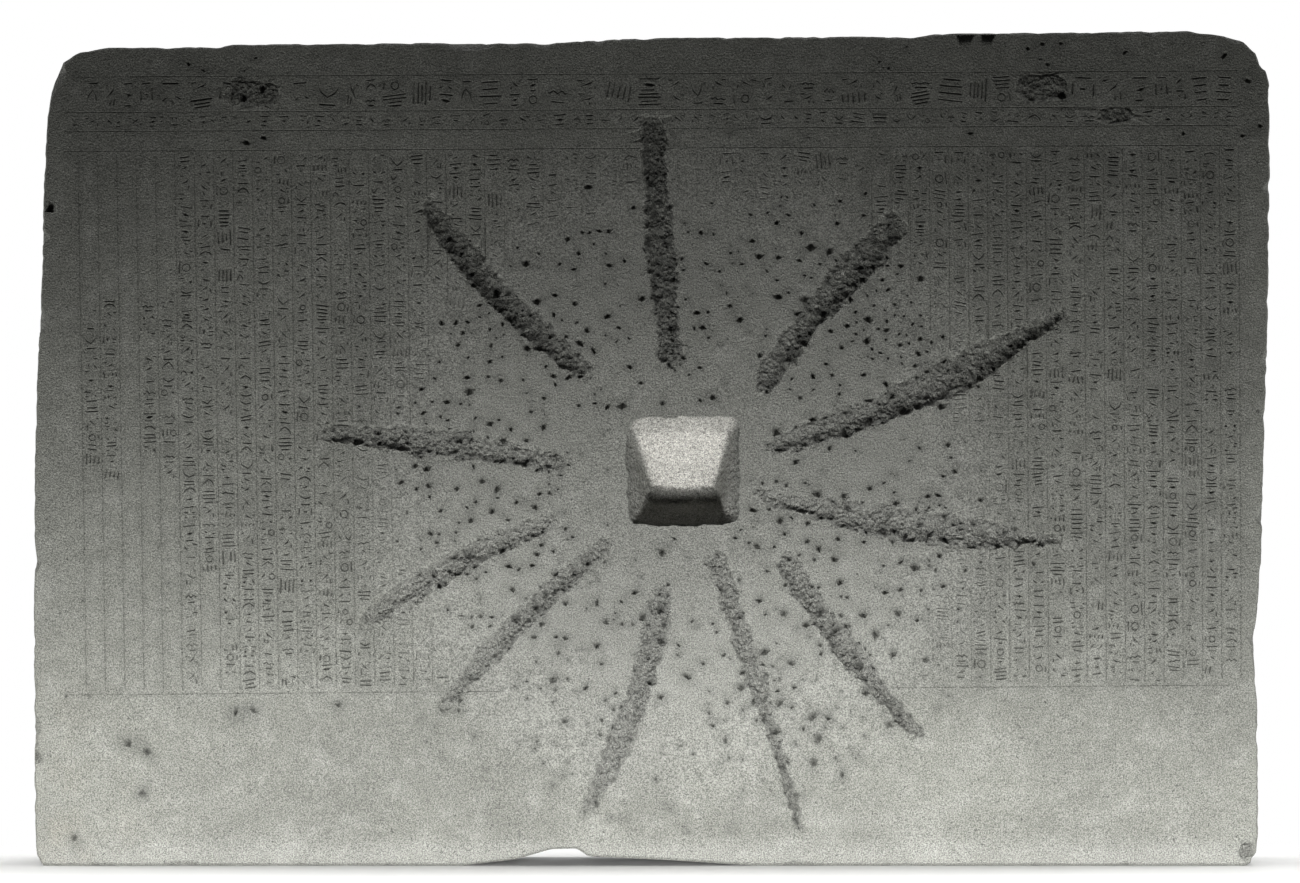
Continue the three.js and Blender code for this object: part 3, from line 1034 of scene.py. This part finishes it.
    def _plan_face(self, outer: np.ndarray, inner: np.ndarray) -> tuple[FacePlan, int]:
        """Lays out the carved face.

        Args:
            outer: the face's outer edge as (x, z) rows.
            inner: the socket's edge as (x, z) rows.

        Returns:
            The plan, and the number of edge points that come first in it.
        """
        plan = FacePlan(self.survey)
        plan.boundary(outer)
        plan.boundary(inner)
        edge_points = len(plan.points)
        inside = self._inside_test(outer, inner)
        rng = random.Random(self.seed)
        plan.find_sunk(self.furrow_reach, self.sunk_cut)
        carved = self.inscription.carve(plan)
        struck = self.pitting.strike(plan, self._furrow, inside)
        zone: dict[tuple[int, int], float] = {}

        def furrow_near(x: float, z: float) -> bool:
            """Whether a furrow is within about 3 mm."""
            key = (int(x / 0.003), int(z / 0.003))
            if key not in zone:
                beside = ((0, 0), (0.003, 0), (-0.003, 0), (0, 0.003), (0, -0.003))
                zone[key] = max(self._furrow(x + dx, z + dz) for dx, dz in beside)
            return zone[key] > 0.02

        def worn(x: float, z: float) -> bool:
            """Whether a place is in the worn dish round the socket."""
            return math.hypot(x - self.survey.socket_x, z - self.survey.socket_z) < self.dish_reach

        def picked(x: float, z: float) -> bool:
            """Whether a place is in a furrow or in a pecked-out oval."""
            return inside(x, z) and (self.inscription.erased(x, z) > 0.02 or furrow_near(x, z))

        fine = plan.scatter(*self.picked_ground, picked, rng)
        middle = plan.scatter(*self.worn_ground, lambda x, z: worn(x, z) and inside(x, z), rng)
        plain = plan.scatter(*self.plain_ground, inside, rng)
        LOG.info("face: %d carved, %d pits, %d fine, %d middle, %d plain points",
                 carved, struck, fine, middle, plain)
        return plan, edge_points

    @staticmethod
    def _inside_test(outer: np.ndarray, inner: np.ndarray | None = None) -> Callable[[float, float], bool]:
        """A quick test of whether a place is inside the outer loop, off it, and off the inner one."""
        centre = outer.mean(axis=0) if inner is None else inner.mean(axis=0)

        def spans(loop: np.ndarray) -> tuple[np.ndarray, np.ndarray]:
            """A loop's distances from the centre by their angles."""
            angles = np.arctan2(loop[:, 1] - centre[1], loop[:, 0] - centre[0])
            order = np.argsort(angles)
            return angles[order], np.hypot(*(loop - centre).T)[order]

        rim = spans(outer)
        mouth = None if inner is None else spans(inner)
        low, high = outer.min(axis=0), outer.max(axis=0)

        def inside(x: float, z: float) -> bool:
            """Whether the place is inside the outer edge and outside the socket."""
            if not (low[0] < x < high[0] and low[1] < z < high[1]):
                return False
            angle = math.atan2(z - centre[1], x - centre[0])
            distance = math.hypot(x - centre[0], z - centre[1])
            if mouth and distance < 0.12 and distance < np.interp(angle, *mouth) + 0.0015:
                return False
            return distance < np.interp(angle, *rim) - 0.0015

        return inside

    @staticmethod
    def _fill(points: Sequence[Point], edges: Sequence[tuple[int, int]], loops: Sequence[int]
              ) -> tuple[list[Vector], list[list[int]], list[list[int]]]:
        """Triangulates the ground between closed loops that come first among the points.

        Args:
            points: the places, with the loops' own points first.
            edges: the lines that the mesh follows.
            loops: how many points each loop has; the first loop is the outer one.

        Returns:
            The places, the triangles, and the planned points that each place stands for.
        """
        places, _, faces, known, _, _ = delaunay_2d_cdt(
            [Vector(p) for p in points], list(edges), [], 0, 1e-7, True)
        total = sum(loops)
        on_edge = [any(k < total for k in owners) for owners in known]
        rings = []
        start = 0
        for size in loops:
            rings.append(np.array(points[start:start + size]))
            start += size

        def within(ring: np.ndarray, x: float, z: float) -> bool:
            """Whether a place is inside a ring."""
            a, b = ring, np.roll(ring, -1, axis=0)
            crosses = (a[:, 1] > z) != (b[:, 1] > z)
            at = a[:, 0] + (z - a[:, 1]) * (b[:, 0] - a[:, 0]) / np.where(crosses, b[:, 1] - a[:, 1], 1.0)
            return bool(np.count_nonzero(crosses & (x < at)) % 2)

        kept = []
        for face in faces:
            if all(on_edge[i] for i in face):
                x = sum(places[i].x for i in face) / 3
                z = sum(places[i].y for i in face) / 3
                if not within(rings[0], x, z) or any(within(ring, x, z) for ring in rings[1:]):
                    continue
            kept.append(face)
        return places, kept, known

    def _front_skin(self, outer: np.ndarray, inner: np.ndarray) -> "Skin":
        """Meshes the carved face.

        Args:
            outer: the face's outer edge as (x, z) rows.
            inner: the socket's edge as (x, z) rows.
        """
        plan, edge_points = self._plan_face(outer, inner)
        places, faces, known = self._fill(plan.points, plan.edges, (len(outer), len(inner)))
        skin = Skin(faces=faces)
        for place, owners in zip(places, known):
            x, z = place.x, place.y
            first = min(owners) if owners else -1
            edge = 0 <= first < edge_points
            furrow = 0.0 if edge else max(self._furrow(x, z), self.inscription.erased(x, z))
            depth = plan.depths[first] if first >= 0 else 0.0
            cut = 0.0 if 0 <= first < len(outer) else self._face_cut(x, z)
            if len(outer) <= first < edge_points:
                cut = self.survey.lip_cut
            dirt = plan.dirt[first] if first >= 0 else 0.4
            skin.add((x, self.survey.front + cut + depth, z), dirt, furrow, 0.0 if edge else 1.0)
            if edge:
                skin.edge[first] = len(skin.points) - 1
        return skin

    def _back_skin(self, outer: np.ndarray) -> "Skin":
        """Meshes the plain back: the same edge, and a coarse ground inside it."""
        plan = FacePlan(self.survey)
        plan.boundary(outer)
        plan.scatter(0.0165, 0.006, self._inside_test(outer), random.Random(self.seed + 1))
        places, faces, known = self._fill(plan.points, plan.edges, (len(outer),))
        skin = Skin(faces=[face[::-1] for face in faces])
        for place, owners in zip(places, known):
            first = min(owners)
            edge = first < len(outer)
            skin.add((place.x, self.survey.back, place.y), dressed=0.0 if edge else 1.0)
            if edge:
                skin.edge[first] = len(skin.points) - 1
        return skin

    def build(self, stone: bpy.types.Material) -> bpy.types.Object:
        """Builds the slab as one closed mesh and roughens it.

        Args:
            stone: the slab's material.

        Returns:
            The finished piece.
        """
        sides, down = self._build_sides()
        socket, bare = self._build_socket()
        front = self._front_skin(sides[0][:, [0, 2]], socket[0][:, [0, 2]])
        back = self._back_skin(sides[-1][:, [0, 2]])
        whole = Skin()
        whole.append(front)
        back_start = whole.append(back)
        count, steps = sides.shape[1], socket.shape[1]
        rows = [[front.edge[k] for k in range(count)]]
        for row in sides[1:-1]:
            rows.append([whole.add(tuple(p), dressed=0.0 if d > 0.02 else 0.8) for p, d in zip(row, down)])
        rows.append([back.edge[k] + back_start for k in range(count)])
        whole.bridge(rows, outwards=True)
        rings = [[front.edge[k] for k in range(count, count + steps)]]
        for ring, shares in zip(socket[1:], bare[1:]):
            # The socket's walls are painted darker the less painted light they get: painted shade down the
            # hollow.
            rings.append([whole.add(tuple(p), 0.26 * (1 - b) ** 2, 0.45, dressed=0.25, bare=b)
                          for p, b in zip(ring, shares)])
        whole.bridge(rings, outwards=False)
        middle = whole.add(tuple(socket[-1].mean(axis=0)), bare=0.2)
        whole.faces += [[a, b, middle] for a, b in zip(rings[-1], rings[-1][1:] + rings[-1][:1])]
        piece = whole.to_object("carved_stele", self.survey)
        self.weathering.apply(piece, stone)
        self._finish_edges(piece)
        return piece

    @staticmethod
    def _finish_edges(piece: bpy.types.Object) -> None:
        """Smooths the shading, but keeps the cuts' rims and the broken edges crisp."""
        mesh = piece.data
        mesh.polygons.foreach_set("use_smooth", np.ones(len(mesh.polygons), bool))
        mesh.set_sharp_from_angle(angle=math.radians(24))
        mesh.update()


@dataclass
class Skin:
    """Points with their surface values, and the faces between them."""

    VALUES = ("dirt", "pecked", "ripple", "dressed", "bare")

    points: list[tuple[float, float, float]] = field(default_factory=list)
    values: list[tuple[float, ...]] = field(default_factory=list)
    faces: list[list[int]] = field(default_factory=list)
    edge: dict[int, int] = field(default_factory=dict)

    def add(self, point: tuple[float, float, float], dirt: float = 0.0, pecked: float = 0.0,
            ripple: float = 0.0, dressed: float = 0.0, bare: float = 0.0) -> int:
        """Adds a point with its values and returns its number."""
        self.points.append(point)
        self.values.append((dirt, pecked, ripple, dressed, bare))
        return len(self.points) - 1

    def append(self, other: "Skin") -> int:
        """Adds another skin's points and faces, and returns where its points start."""
        start = len(self.points)
        self.points += other.points
        self.values += other.values
        self.faces += [[i + start for i in face] for face in other.faces]
        return start

    def bridge(self, rows: Sequence[Sequence[int]], outwards: bool) -> None:
        """Joins closed rows of points by quads.

        Args:
            rows: the rows, from the face to the back.
            outwards: whether the faces look away from the loop's middle.
        """
        for near, far in zip(rows, rows[1:]):
            for i in range(len(near)):
                k = (i + 1) % len(near)
                quad = [near[i], far[i], far[k], near[k]]
                self.faces.append(quad if outwards else quad[::-1])

    def to_object(self, name: str, survey: SlabSurvey) -> bpy.types.Object:
        """Makes an object of the skin, with its values as attributes."""
        mesh = bpy.data.meshes.new(name)
        mesh.from_pydata(self.points, [], self.faces)
        mesh.validate()
        rub = [1 - smoothstep(0.30, 0.40, math.hypot(x - survey.socket_x, z - survey.socket_z)
                              + 0.03 * drift(x, z, 0.12, 21.0)) if y < survey.front + 0.02 else 0.0
               for x, y, z in self.points]
        columns = dict(zip(self.VALUES, np.array(self.values, np.float32).T))
        columns["rub"] = np.array(rub, np.float32)
        for title, numbers in columns.items():
            attribute = mesh.attributes.new(title, "FLOAT", "POINT")
            attribute.data.foreach_set("value", np.ascontiguousarray(numbers))
        piece = bpy.data.objects.new(name, mesh)
        bpy.context.scene.collection.objects.link(piece)
        return piece


class Board:
    """A material's node tree, with short ways to place and join its nodes."""

    def __init__(self, material: bpy.types.Material) -> None:
        """Starts with an empty tree.

        Args:
            material: the material whose nodes are made.
        """
        material.use_nodes = True
        self.nodes = material.node_tree.nodes
        self.links = material.node_tree.links
        self.nodes.clear()

    def node(self, kind: str, inputs: dict[str | int, object] | None = None,
             **settings: object) -> bpy.types.Node:
        """Places a node, sets its fields, and fills or links its inputs."""
        made = self.nodes.new(kind)
        for name, value in settings.items():
            setattr(made, name, value)
        for key, value in (inputs or {}).items():
            if isinstance(value, bpy.types.NodeSocket):
                self.links.new(value, made.inputs[key])
            else:
                made.inputs[key].default_value = value
        return made

    def math(self, operation: str, *values: object, clamp: bool = False) -> bpy.types.NodeSocket:
        """A math node's result."""
        inputs = dict(enumerate(values))
        return self.node("ShaderNodeMath", inputs, operation=operation, use_clamp=clamp).outputs[0]

    def noise(self, where: bpy.types.NodeSocket, size: float, detail: float = 3.0, rough: float = 0.5,
              warp: float = 0.0) -> bpy.types.NodeSocket:
        """A noise from 0 to 1 whose features are about size across."""
        inputs = {"Vector": where, "Scale": 1 / size, "Detail": detail,
                  "Roughness": rough, "Distortion": warp}
        return self.node("ShaderNodeTexNoise", inputs).outputs[0]

    def step(self, value: bpy.types.NodeSocket, low: float, high: float, start: float = 0.0,
             end: float = 1.0) -> bpy.types.NodeSocket:
        """Maps a value smoothly from the range low to high onto start to end."""
        inputs = {"Value": value, "From Min": low, "From Max": high, "To Min": start, "To Max": end}
        return self.node("ShaderNodeMapRange", inputs, interpolation_type="SMOOTHSTEP").outputs[0]

    def mix(self, share: object, one: object, other: object, blend: str = "MIX") -> bpy.types.NodeSocket:
        """Mixes two colours."""
        made = self.node("ShaderNodeMix", data_type="RGBA", blend_type=blend)
        for key, value in (("Factor_Float", share), ("A_Color", one), ("B_Color", other)):
            socket = next(s for s in made.inputs if s.identifier == key)
            if isinstance(value, bpy.types.NodeSocket):
                self.links.new(value, socket)
            else:
                socket.default_value = value
        return next(s for s in made.outputs if s.identifier == "Result_Color")

    def attribute(self, name: str) -> bpy.types.NodeSocket:
        """The piece's own value of that name."""
        return self.node("ShaderNodeAttribute", attribute_name=name).outputs["Fac"]


@dataclass(frozen=True)
class DarkStone:
    """The slab's stone: dark grey-green, rubbed, grainy, with painted shade in its high furrows and painted
    light in its low ones and its socket.
    """

    body: tuple[float, float, float, float] = (0.178, 0.181, 0.160, 1.0)
    shade: tuple[float, float, float, float] = (0.138, 0.140, 0.124, 1.0)
    pale: tuple[float, float, float, float] = (0.270, 0.272, 0.250, 1.0)
    fleck: tuple[float, float, float, float] = (0.46, 0.46, 0.43, 1.0)
    # A near-black for dark deposits and for painted shade.
    grime_and_shade: tuple[float, float, float, float] = (0.034, 0.035, 0.031, 1.0)
    ochre: tuple[float, float, float, float] = (0.245, 0.212, 0.158, 1.0)
    # Pale stone and painted light on the socket's upper wall.
    bare: tuple[float, float, float, float] = (0.60, 0.585, 0.54, 1.0)  # the socket's upper wall
    sheen: float = 0.34

    def material(self) -> bpy.types.Material:
        """Builds the material."""
        made = bpy.data.materials.new("dark_stone")
        board = Board(made)
        where = board.node("ShaderNodeTexCoord").outputs["Object"]
        dirt, pecked, rub = board.attribute("dirt"), board.attribute("pecked"), board.attribute("rub")
        clouds = board.noise(where, 0.24, 4.0, 0.55, 0.4)
        mottle = board.noise(where, 0.030, 4.0, 0.6, 0.2)
        colour = board.mix(board.step(clouds, 0.32, 0.68), self.shade, self.body)
        colour = board.mix(board.step(mottle, 0.45, 0.75, 0.0, 0.35), colour, self.pale)
        colour = board.mix(board.math("MULTIPLY", rub, 0.30), colour, self.pale)
        colour = self._edges(board, where, colour)
        # Painted shade: the pecked furrows are darkened in clumps, more the higher they lie, where the low
        # light only grazes them.
        clumps = board.step(board.noise(where, 0.0080, 2.0, 0.6), 0.42, 0.62)
        place = board.node("ShaderNodeSeparateXYZ", {"Vector": where})
        high = board.step(place.outputs["Z"], 0.36, 0.66, 0.0, 1.0)
        dark = board.math("MULTIPLY", board.math("MULTIPLY", pecked, high),
                          board.math("ADD", board.math("MULTIPLY", clumps, 0.45), 0.12))
        colour = board.mix(dark, colour, self.grime_and_shade)
        # Painted light: the pecked furrows low down are paled, where the low light falls into them.
        lit_low_furrows = board.math("MULTIPLY", pecked, board.math("SUBTRACT", 1.0, high))
        colour = board.mix(board.math("MULTIPLY", lit_low_furrows, 0.32), colour, self.pale)
        # Pale stone and painted light on the socket's upper wall, which faces the low lamps.
        bare = board.math("MULTIPLY", board.attribute("bare"), board.step(mottle, 0.25, 0.6, 0.75, 1.0))
        colour = board.mix(bare, colour, self.bare)
        colour = self._grain(board, where, pecked, colour)
        # Cuts, pits and the socket's shaded walls are darkened: partly dust in them, partly painted shade in
        # the hollows.
        colour = board.mix(board.math("MULTIPLY", dirt, 0.80), colour, self.grime_and_shade)
        rough = board.step(board.noise(where, 0.02, 3.0), 0.3, 0.7, 0.56, 0.78)
        rough = board.math("ADD", rough, board.math("MULTIPLY", pecked, 0.15), clamp=True)
        stone = board.node("ShaderNodeBsdfPrincipled", {
            "Base Color": colour, "Roughness": rough, "Normal": self._relief(board, where, pecked),
            "Specular IOR Level": self.sheen})
        board.node("ShaderNodeOutputMaterial", {"Surface": stone.outputs[0]})
        return made

    def _grain(self, board: Board, where: bpy.types.NodeSocket, pecked: bpy.types.NodeSocket,
               colour: bpy.types.NodeSocket) -> bpy.types.NodeSocket:
        """Fine light and dark grain, with small ragged dark pits and pale flecks in it."""
        fine = board.step(board.noise(where, 0.0015, 2.0, 0.8), 0.30, 0.70, 0.40, 1.60)
        coarse = board.step(board.noise(where, 0.0095, 3.0, 0.65), 0.28, 0.72, 0.95, 1.05)
        tone = board.math("MULTIPLY", fine, coarse)
        grey = board.node("ShaderNodeCombineColor", {0: tone, 1: tone, 2: tone}).outputs[0]
        colour = board.mix(1.0, colour, grey, "MULTIPLY")
        more = board.math("ADD", board.math("MULTIPLY", pecked, 0.50), 0.40)
        specks = board.step(board.noise(where, 0.0026, 2.0, 0.6, 0.5), 0.66, 0.73)
        flecks = board.math("MULTIPLY", specks, more)
        colour = board.mix(flecks, colour, self.fleck)
        moved = board.node("ShaderNodeVectorMath", {0: where, 1: (3.1, 1.7, 5.3)}).outputs[0]
        pits = board.step(board.noise(moved, 0.0036, 2.0, 0.6, 0.6), 0.67, 0.71)
        return board.mix(board.math("MULTIPLY", pits, 0.80), colour, self.grime_and_shade)

    def _edges(self, board: Board, where: bpy.types.NodeSocket, colour: bpy.types.NodeSocket
               ) -> bpy.types.NodeSocket:
        """Painted shade at the top, a painted highlight at the foot, pale scuffs low down, darker streaks, an
        ochre tint at the lower left.
        """
        place = board.node("ShaderNodeSeparateXYZ", {"Vector": where})
        # Painted shade: the top band of the face is darkened, as the low light reaches it least.
        top = board.step(place.outputs["Z"], 0.66, 0.88, 0.0, 0.12)
        colour = board.mix(top, colour, self.grime_and_shade)
        # Painted highlight: a pale strip along the foot, where the broken lower edge catches the low light.
        colour = board.mix(board.step(place.outputs["Z"], 0.012, 0.040, 0.45, 0.0), colour, self.pale)
        low = board.step(place.outputs["Z"], 0.0, 0.30, 1.0, 0.0)
        streaks = board.node("ShaderNodeVectorMath", {0: where, 1: (0.45, 1.0, 1.0)}, operation="MULTIPLY")
        scuffs = board.step(board.noise(streaks.outputs[0], 0.085, 6.0, 0.65, 0.8), 0.48, 0.72)
        rubbed = board.math("MULTIPLY", low, board.math("MULTIPLY", scuffs, 0.45))
        colour = board.mix(rubbed, colour, self.pale)
        damp = board.step(board.noise(streaks.outputs[0], 0.12, 4.0, 0.6, 0.4), 0.54, 0.72, 0.0, 0.30)
        colour = board.mix(damp, colour, self.shade)
        left = board.step(place.outputs["X"], -0.68, -0.52, 1.0, 0.0)
        stain = board.step(board.noise(where, 0.05, 4.0, 0.6), 0.40, 0.66)
        share = board.math("MULTIPLY", board.math("MULTIPLY", left, low), board.math("MULTIPLY", stain, 0.14))
        return board.mix(share, colour, self.ochre)

    @staticmethod
    def _relief(board: Board, where: bpy.types.NodeSocket, pecked: bpy.types.NodeSocket
                ) -> bpy.types.NodeSocket:
        """The normal: a fine grain all over, and picked ground in the furrows."""
        fine = board.noise(where, 0.0024, 3.0, 0.7)
        height = board.math("ADD", fine, board.math("MULTIPLY", board.noise(where, 0.013, 3.0, 0.6), 0.6))
        soft = board.node("ShaderNodeBump", {"Height": height, "Strength": 1.0, "Distance": 0.0020})
        cells = board.node("ShaderNodeTexVoronoi", {"Vector": where, "Scale": 1 / 0.0050})
        picks = board.math("ADD", board.math("MULTIPLY", cells.outputs["Distance"], 0.7),
                           board.noise(where, 0.0042, 3.0, 0.7))
        height = board.math("MULTIPLY", picks, pecked)
        made = board.node("ShaderNodeBump", {"Height": height, "Strength": 1.0, "Distance": 0.0088,
                                            "Normal": soft.outputs[0]})
        return made.outputs[0]


@dataclass
class Studio:
    """The pale floor, the soft lights and the camera."""

    lens_distance: float = 5.5
    view_width: float = 1.43975  # what the frame spans across the slab's face
    aim_x: float = -0.002
    aim_z: float = 0.470
    sensor: float = 36.0
    floor_reach: float = 3.2
    floor_bounce: float = 0.10  # what the floor sends back to the slab
    # The floor shows in an oval round the slab's foot, and melts into the white outside it.
    oval_forward: float = 0.15  # how far before the slab's middle the oval's middle lies
    oval_squash: float = 0.25  # its depth over its width
    oval_whole: float = 0.20  # half the depth of the part that shows fully
    oval_gone: float = 0.42  # half the depth at which nothing of it shows

    def floor(self) -> bpy.types.Object:
        """A plain pale floor that melts into the white round it."""
        mesh = bpy.data.meshes.new("floor")
        r = self.floor_reach
        mesh.from_pydata([(-r, -r, 0), (r, -r, 0), (r, r, 0), (-r, r, 0)], [], [(0, 1, 2, 3)])
        piece = bpy.data.objects.new("floor", mesh)
        bpy.context.scene.collection.objects.link(piece)
        paper = bpy.data.materials.new("pale_floor")
        board = Board(paper)
        where = board.node("ShaderNodeTexCoord").outputs["Object"]
        tone = board.step(board.noise(where, 0.4, 3.0), 0.3, 0.7)
        seen = board.mix(tone, (0.74, 0.74, 0.73, 1), (0.78, 0.78, 0.77, 1))
        rays = board.node("ShaderNodeLightPath").outputs["Is Camera Ray"]
        colour = board.mix(rays, (self.floor_bounce,) * 3 + (1.0,), seen)
        paint = board.node("ShaderNodeBsdfPrincipled", {"Base Color": colour, "Roughness": 0.9,
                                                        "Specular IOR Level": 0.1})
        nearer = board.node("ShaderNodeVectorMath", {0: where, 1: (0.0, self.oval_forward, 0.0)}).outputs[0]
        squash = (self.oval_squash, 1.0, 0.0)
        place = board.node("ShaderNodeVectorMath", {0: nearer, 1: squash}, operation="MULTIPLY")
        away = board.node("ShaderNodeVectorMath", {0: place.outputs[0]}, operation="LENGTH").outputs["Value"]
        fade = board.step(away, self.oval_whole, self.oval_gone)
        clear = board.node("ShaderNodeBsdfTransparent")
        made = board.node("ShaderNodeMixShader", {0: fade, 1: paint.outputs[0], 2: clear.outputs[0]})
        board.node("ShaderNodeOutputMaterial", {"Surface": made.outputs[0]})
        mesh.materials.append(paper)
        return piece

    @staticmethod
    def _softbox(name: str, place: tuple[float, float, float], target: tuple[float, float, float],
                 size: tuple[float, float], power: float,
                 only: bpy.types.Object | None = None) -> None:
        """Places a soft rectangular light that looks at a target, for one object only if asked."""
        light = bpy.data.lights.new(name, "AREA")
        light.shape = "RECTANGLE"
        light.size, light.size_y = size
        light.energy = power
        lamp = bpy.data.objects.new(name, light)
        lamp.location = place
        lamp.rotation_euler = (Vector(target) - Vector(place)).to_track_quat("-Z", "Y").to_euler()
        lamp.visible_camera = False
        bpy.context.scene.collection.objects.link(lamp)
        if only is not None:
            group = bpy.data.collections.new(f"lit_by_{name}")
            group.objects.link(only)
            lamp.light_linking.receiver_collection = group

    def lights(self, floor: bpy.types.Object) -> None:
        """Two low strips before the foot of the slab, soft boxes behind its face and over the floor.

        Args:
            floor: the floor, which has a light of its own.
        """
        self._softbox("low_strip", (0.12, -0.47, 0.03), (0.12, 0.0, 0.03), (3.5, 0.06), 18.6)
        self._softbox("near_strip", (0.12, -0.56, 0.03), (0.12, 0.0, 0.03), (3.5, 0.06), 7.4)
        self._softbox("floor_light", (0, 0.0, 2.3), (0, 0.0, 0.0), (4.5, 0.28), 64.0, only=floor)
        self._softbox("top_light", (0, 0.75, 2.4), (0, 0.0, 0.5), (2.6, 0.8), 22.0)
        self._softbox("back_light", (0.6, 3.2, 1.3), (0, 0.0, 0.45), (2.4, 1.6), 60.0)
        for side in (-1, 1):
            self._softbox("side_light", (side * 2.6, 0.55, 0.9), (0, 0.1, 0.45), (1.0, 1.2), 22.0)
        world = bpy.data.worlds.new("studio")
        bpy.context.scene.world = world
        world.use_nodes = True
        nodes, links = world.node_tree.nodes, world.node_tree.links
        nodes.clear()
        seen, fill, mix, out = (nodes.new(kind) for kind in (
            "ShaderNodeBackground", "ShaderNodeBackground", "ShaderNodeMixShader", "ShaderNodeOutputWorld"))
        seen.inputs["Color"].default_value = (1, 1, 1, 1)
        fill.inputs["Color"].default_value = (1, 1, 1, 1)
        fill.inputs["Strength"].default_value = 0.03
        links.new(nodes.new("ShaderNodeLightPath").outputs["Is Camera Ray"], mix.inputs[0])
        links.new(fill.outputs[0], mix.inputs[1])
        links.new(seen.outputs[0], mix.inputs[2])
        links.new(mix.outputs[0], out.inputs["Surface"])

    def camera(self, front: float) -> None:
        """Stands the camera straight before the face, far off with a long lens."""
        lens = bpy.data.cameras.new("camera")
        lens.sensor_width = self.sensor
        lens.lens = self.sensor * self.lens_distance / self.view_width
        lens.clip_end = 200.0
        camera = bpy.data.objects.new("camera", lens)
        camera.location = (self.aim_x, front - self.lens_distance, self.aim_z)
        camera.rotation_euler = (math.radians(90), 0, 0)
        bpy.context.scene.collection.objects.link(camera)
        bpy.context.scene.camera = camera


def main() -> None:
    """Builds the slab, the floor, the lights and the camera."""
    logging.basicConfig(level=logging.INFO, format="%(name)s: %(message)s")
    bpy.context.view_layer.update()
    survey = SlabSurvey(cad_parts[NODE])
    studio = Studio()
    studio.camera(survey.front)
    slab = StoneSlab(survey, Inscription(), Pitting(), Weathering())
    piece = slab.build(DarkStone().material())
    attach(piece, "root")
    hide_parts(NODE)
    piece.data.calc_loop_triangles()
    LOG.info("%s: %d points, %d triangles", piece.name,
             len(piece.data.vertices), len(piece.data.loop_triangles))
    floor = studio.floor()
    studio.lights(floor)
    bpy.context.scene.view_settings.view_transform = "Standard"


if __name__ == "__main__":
    main()
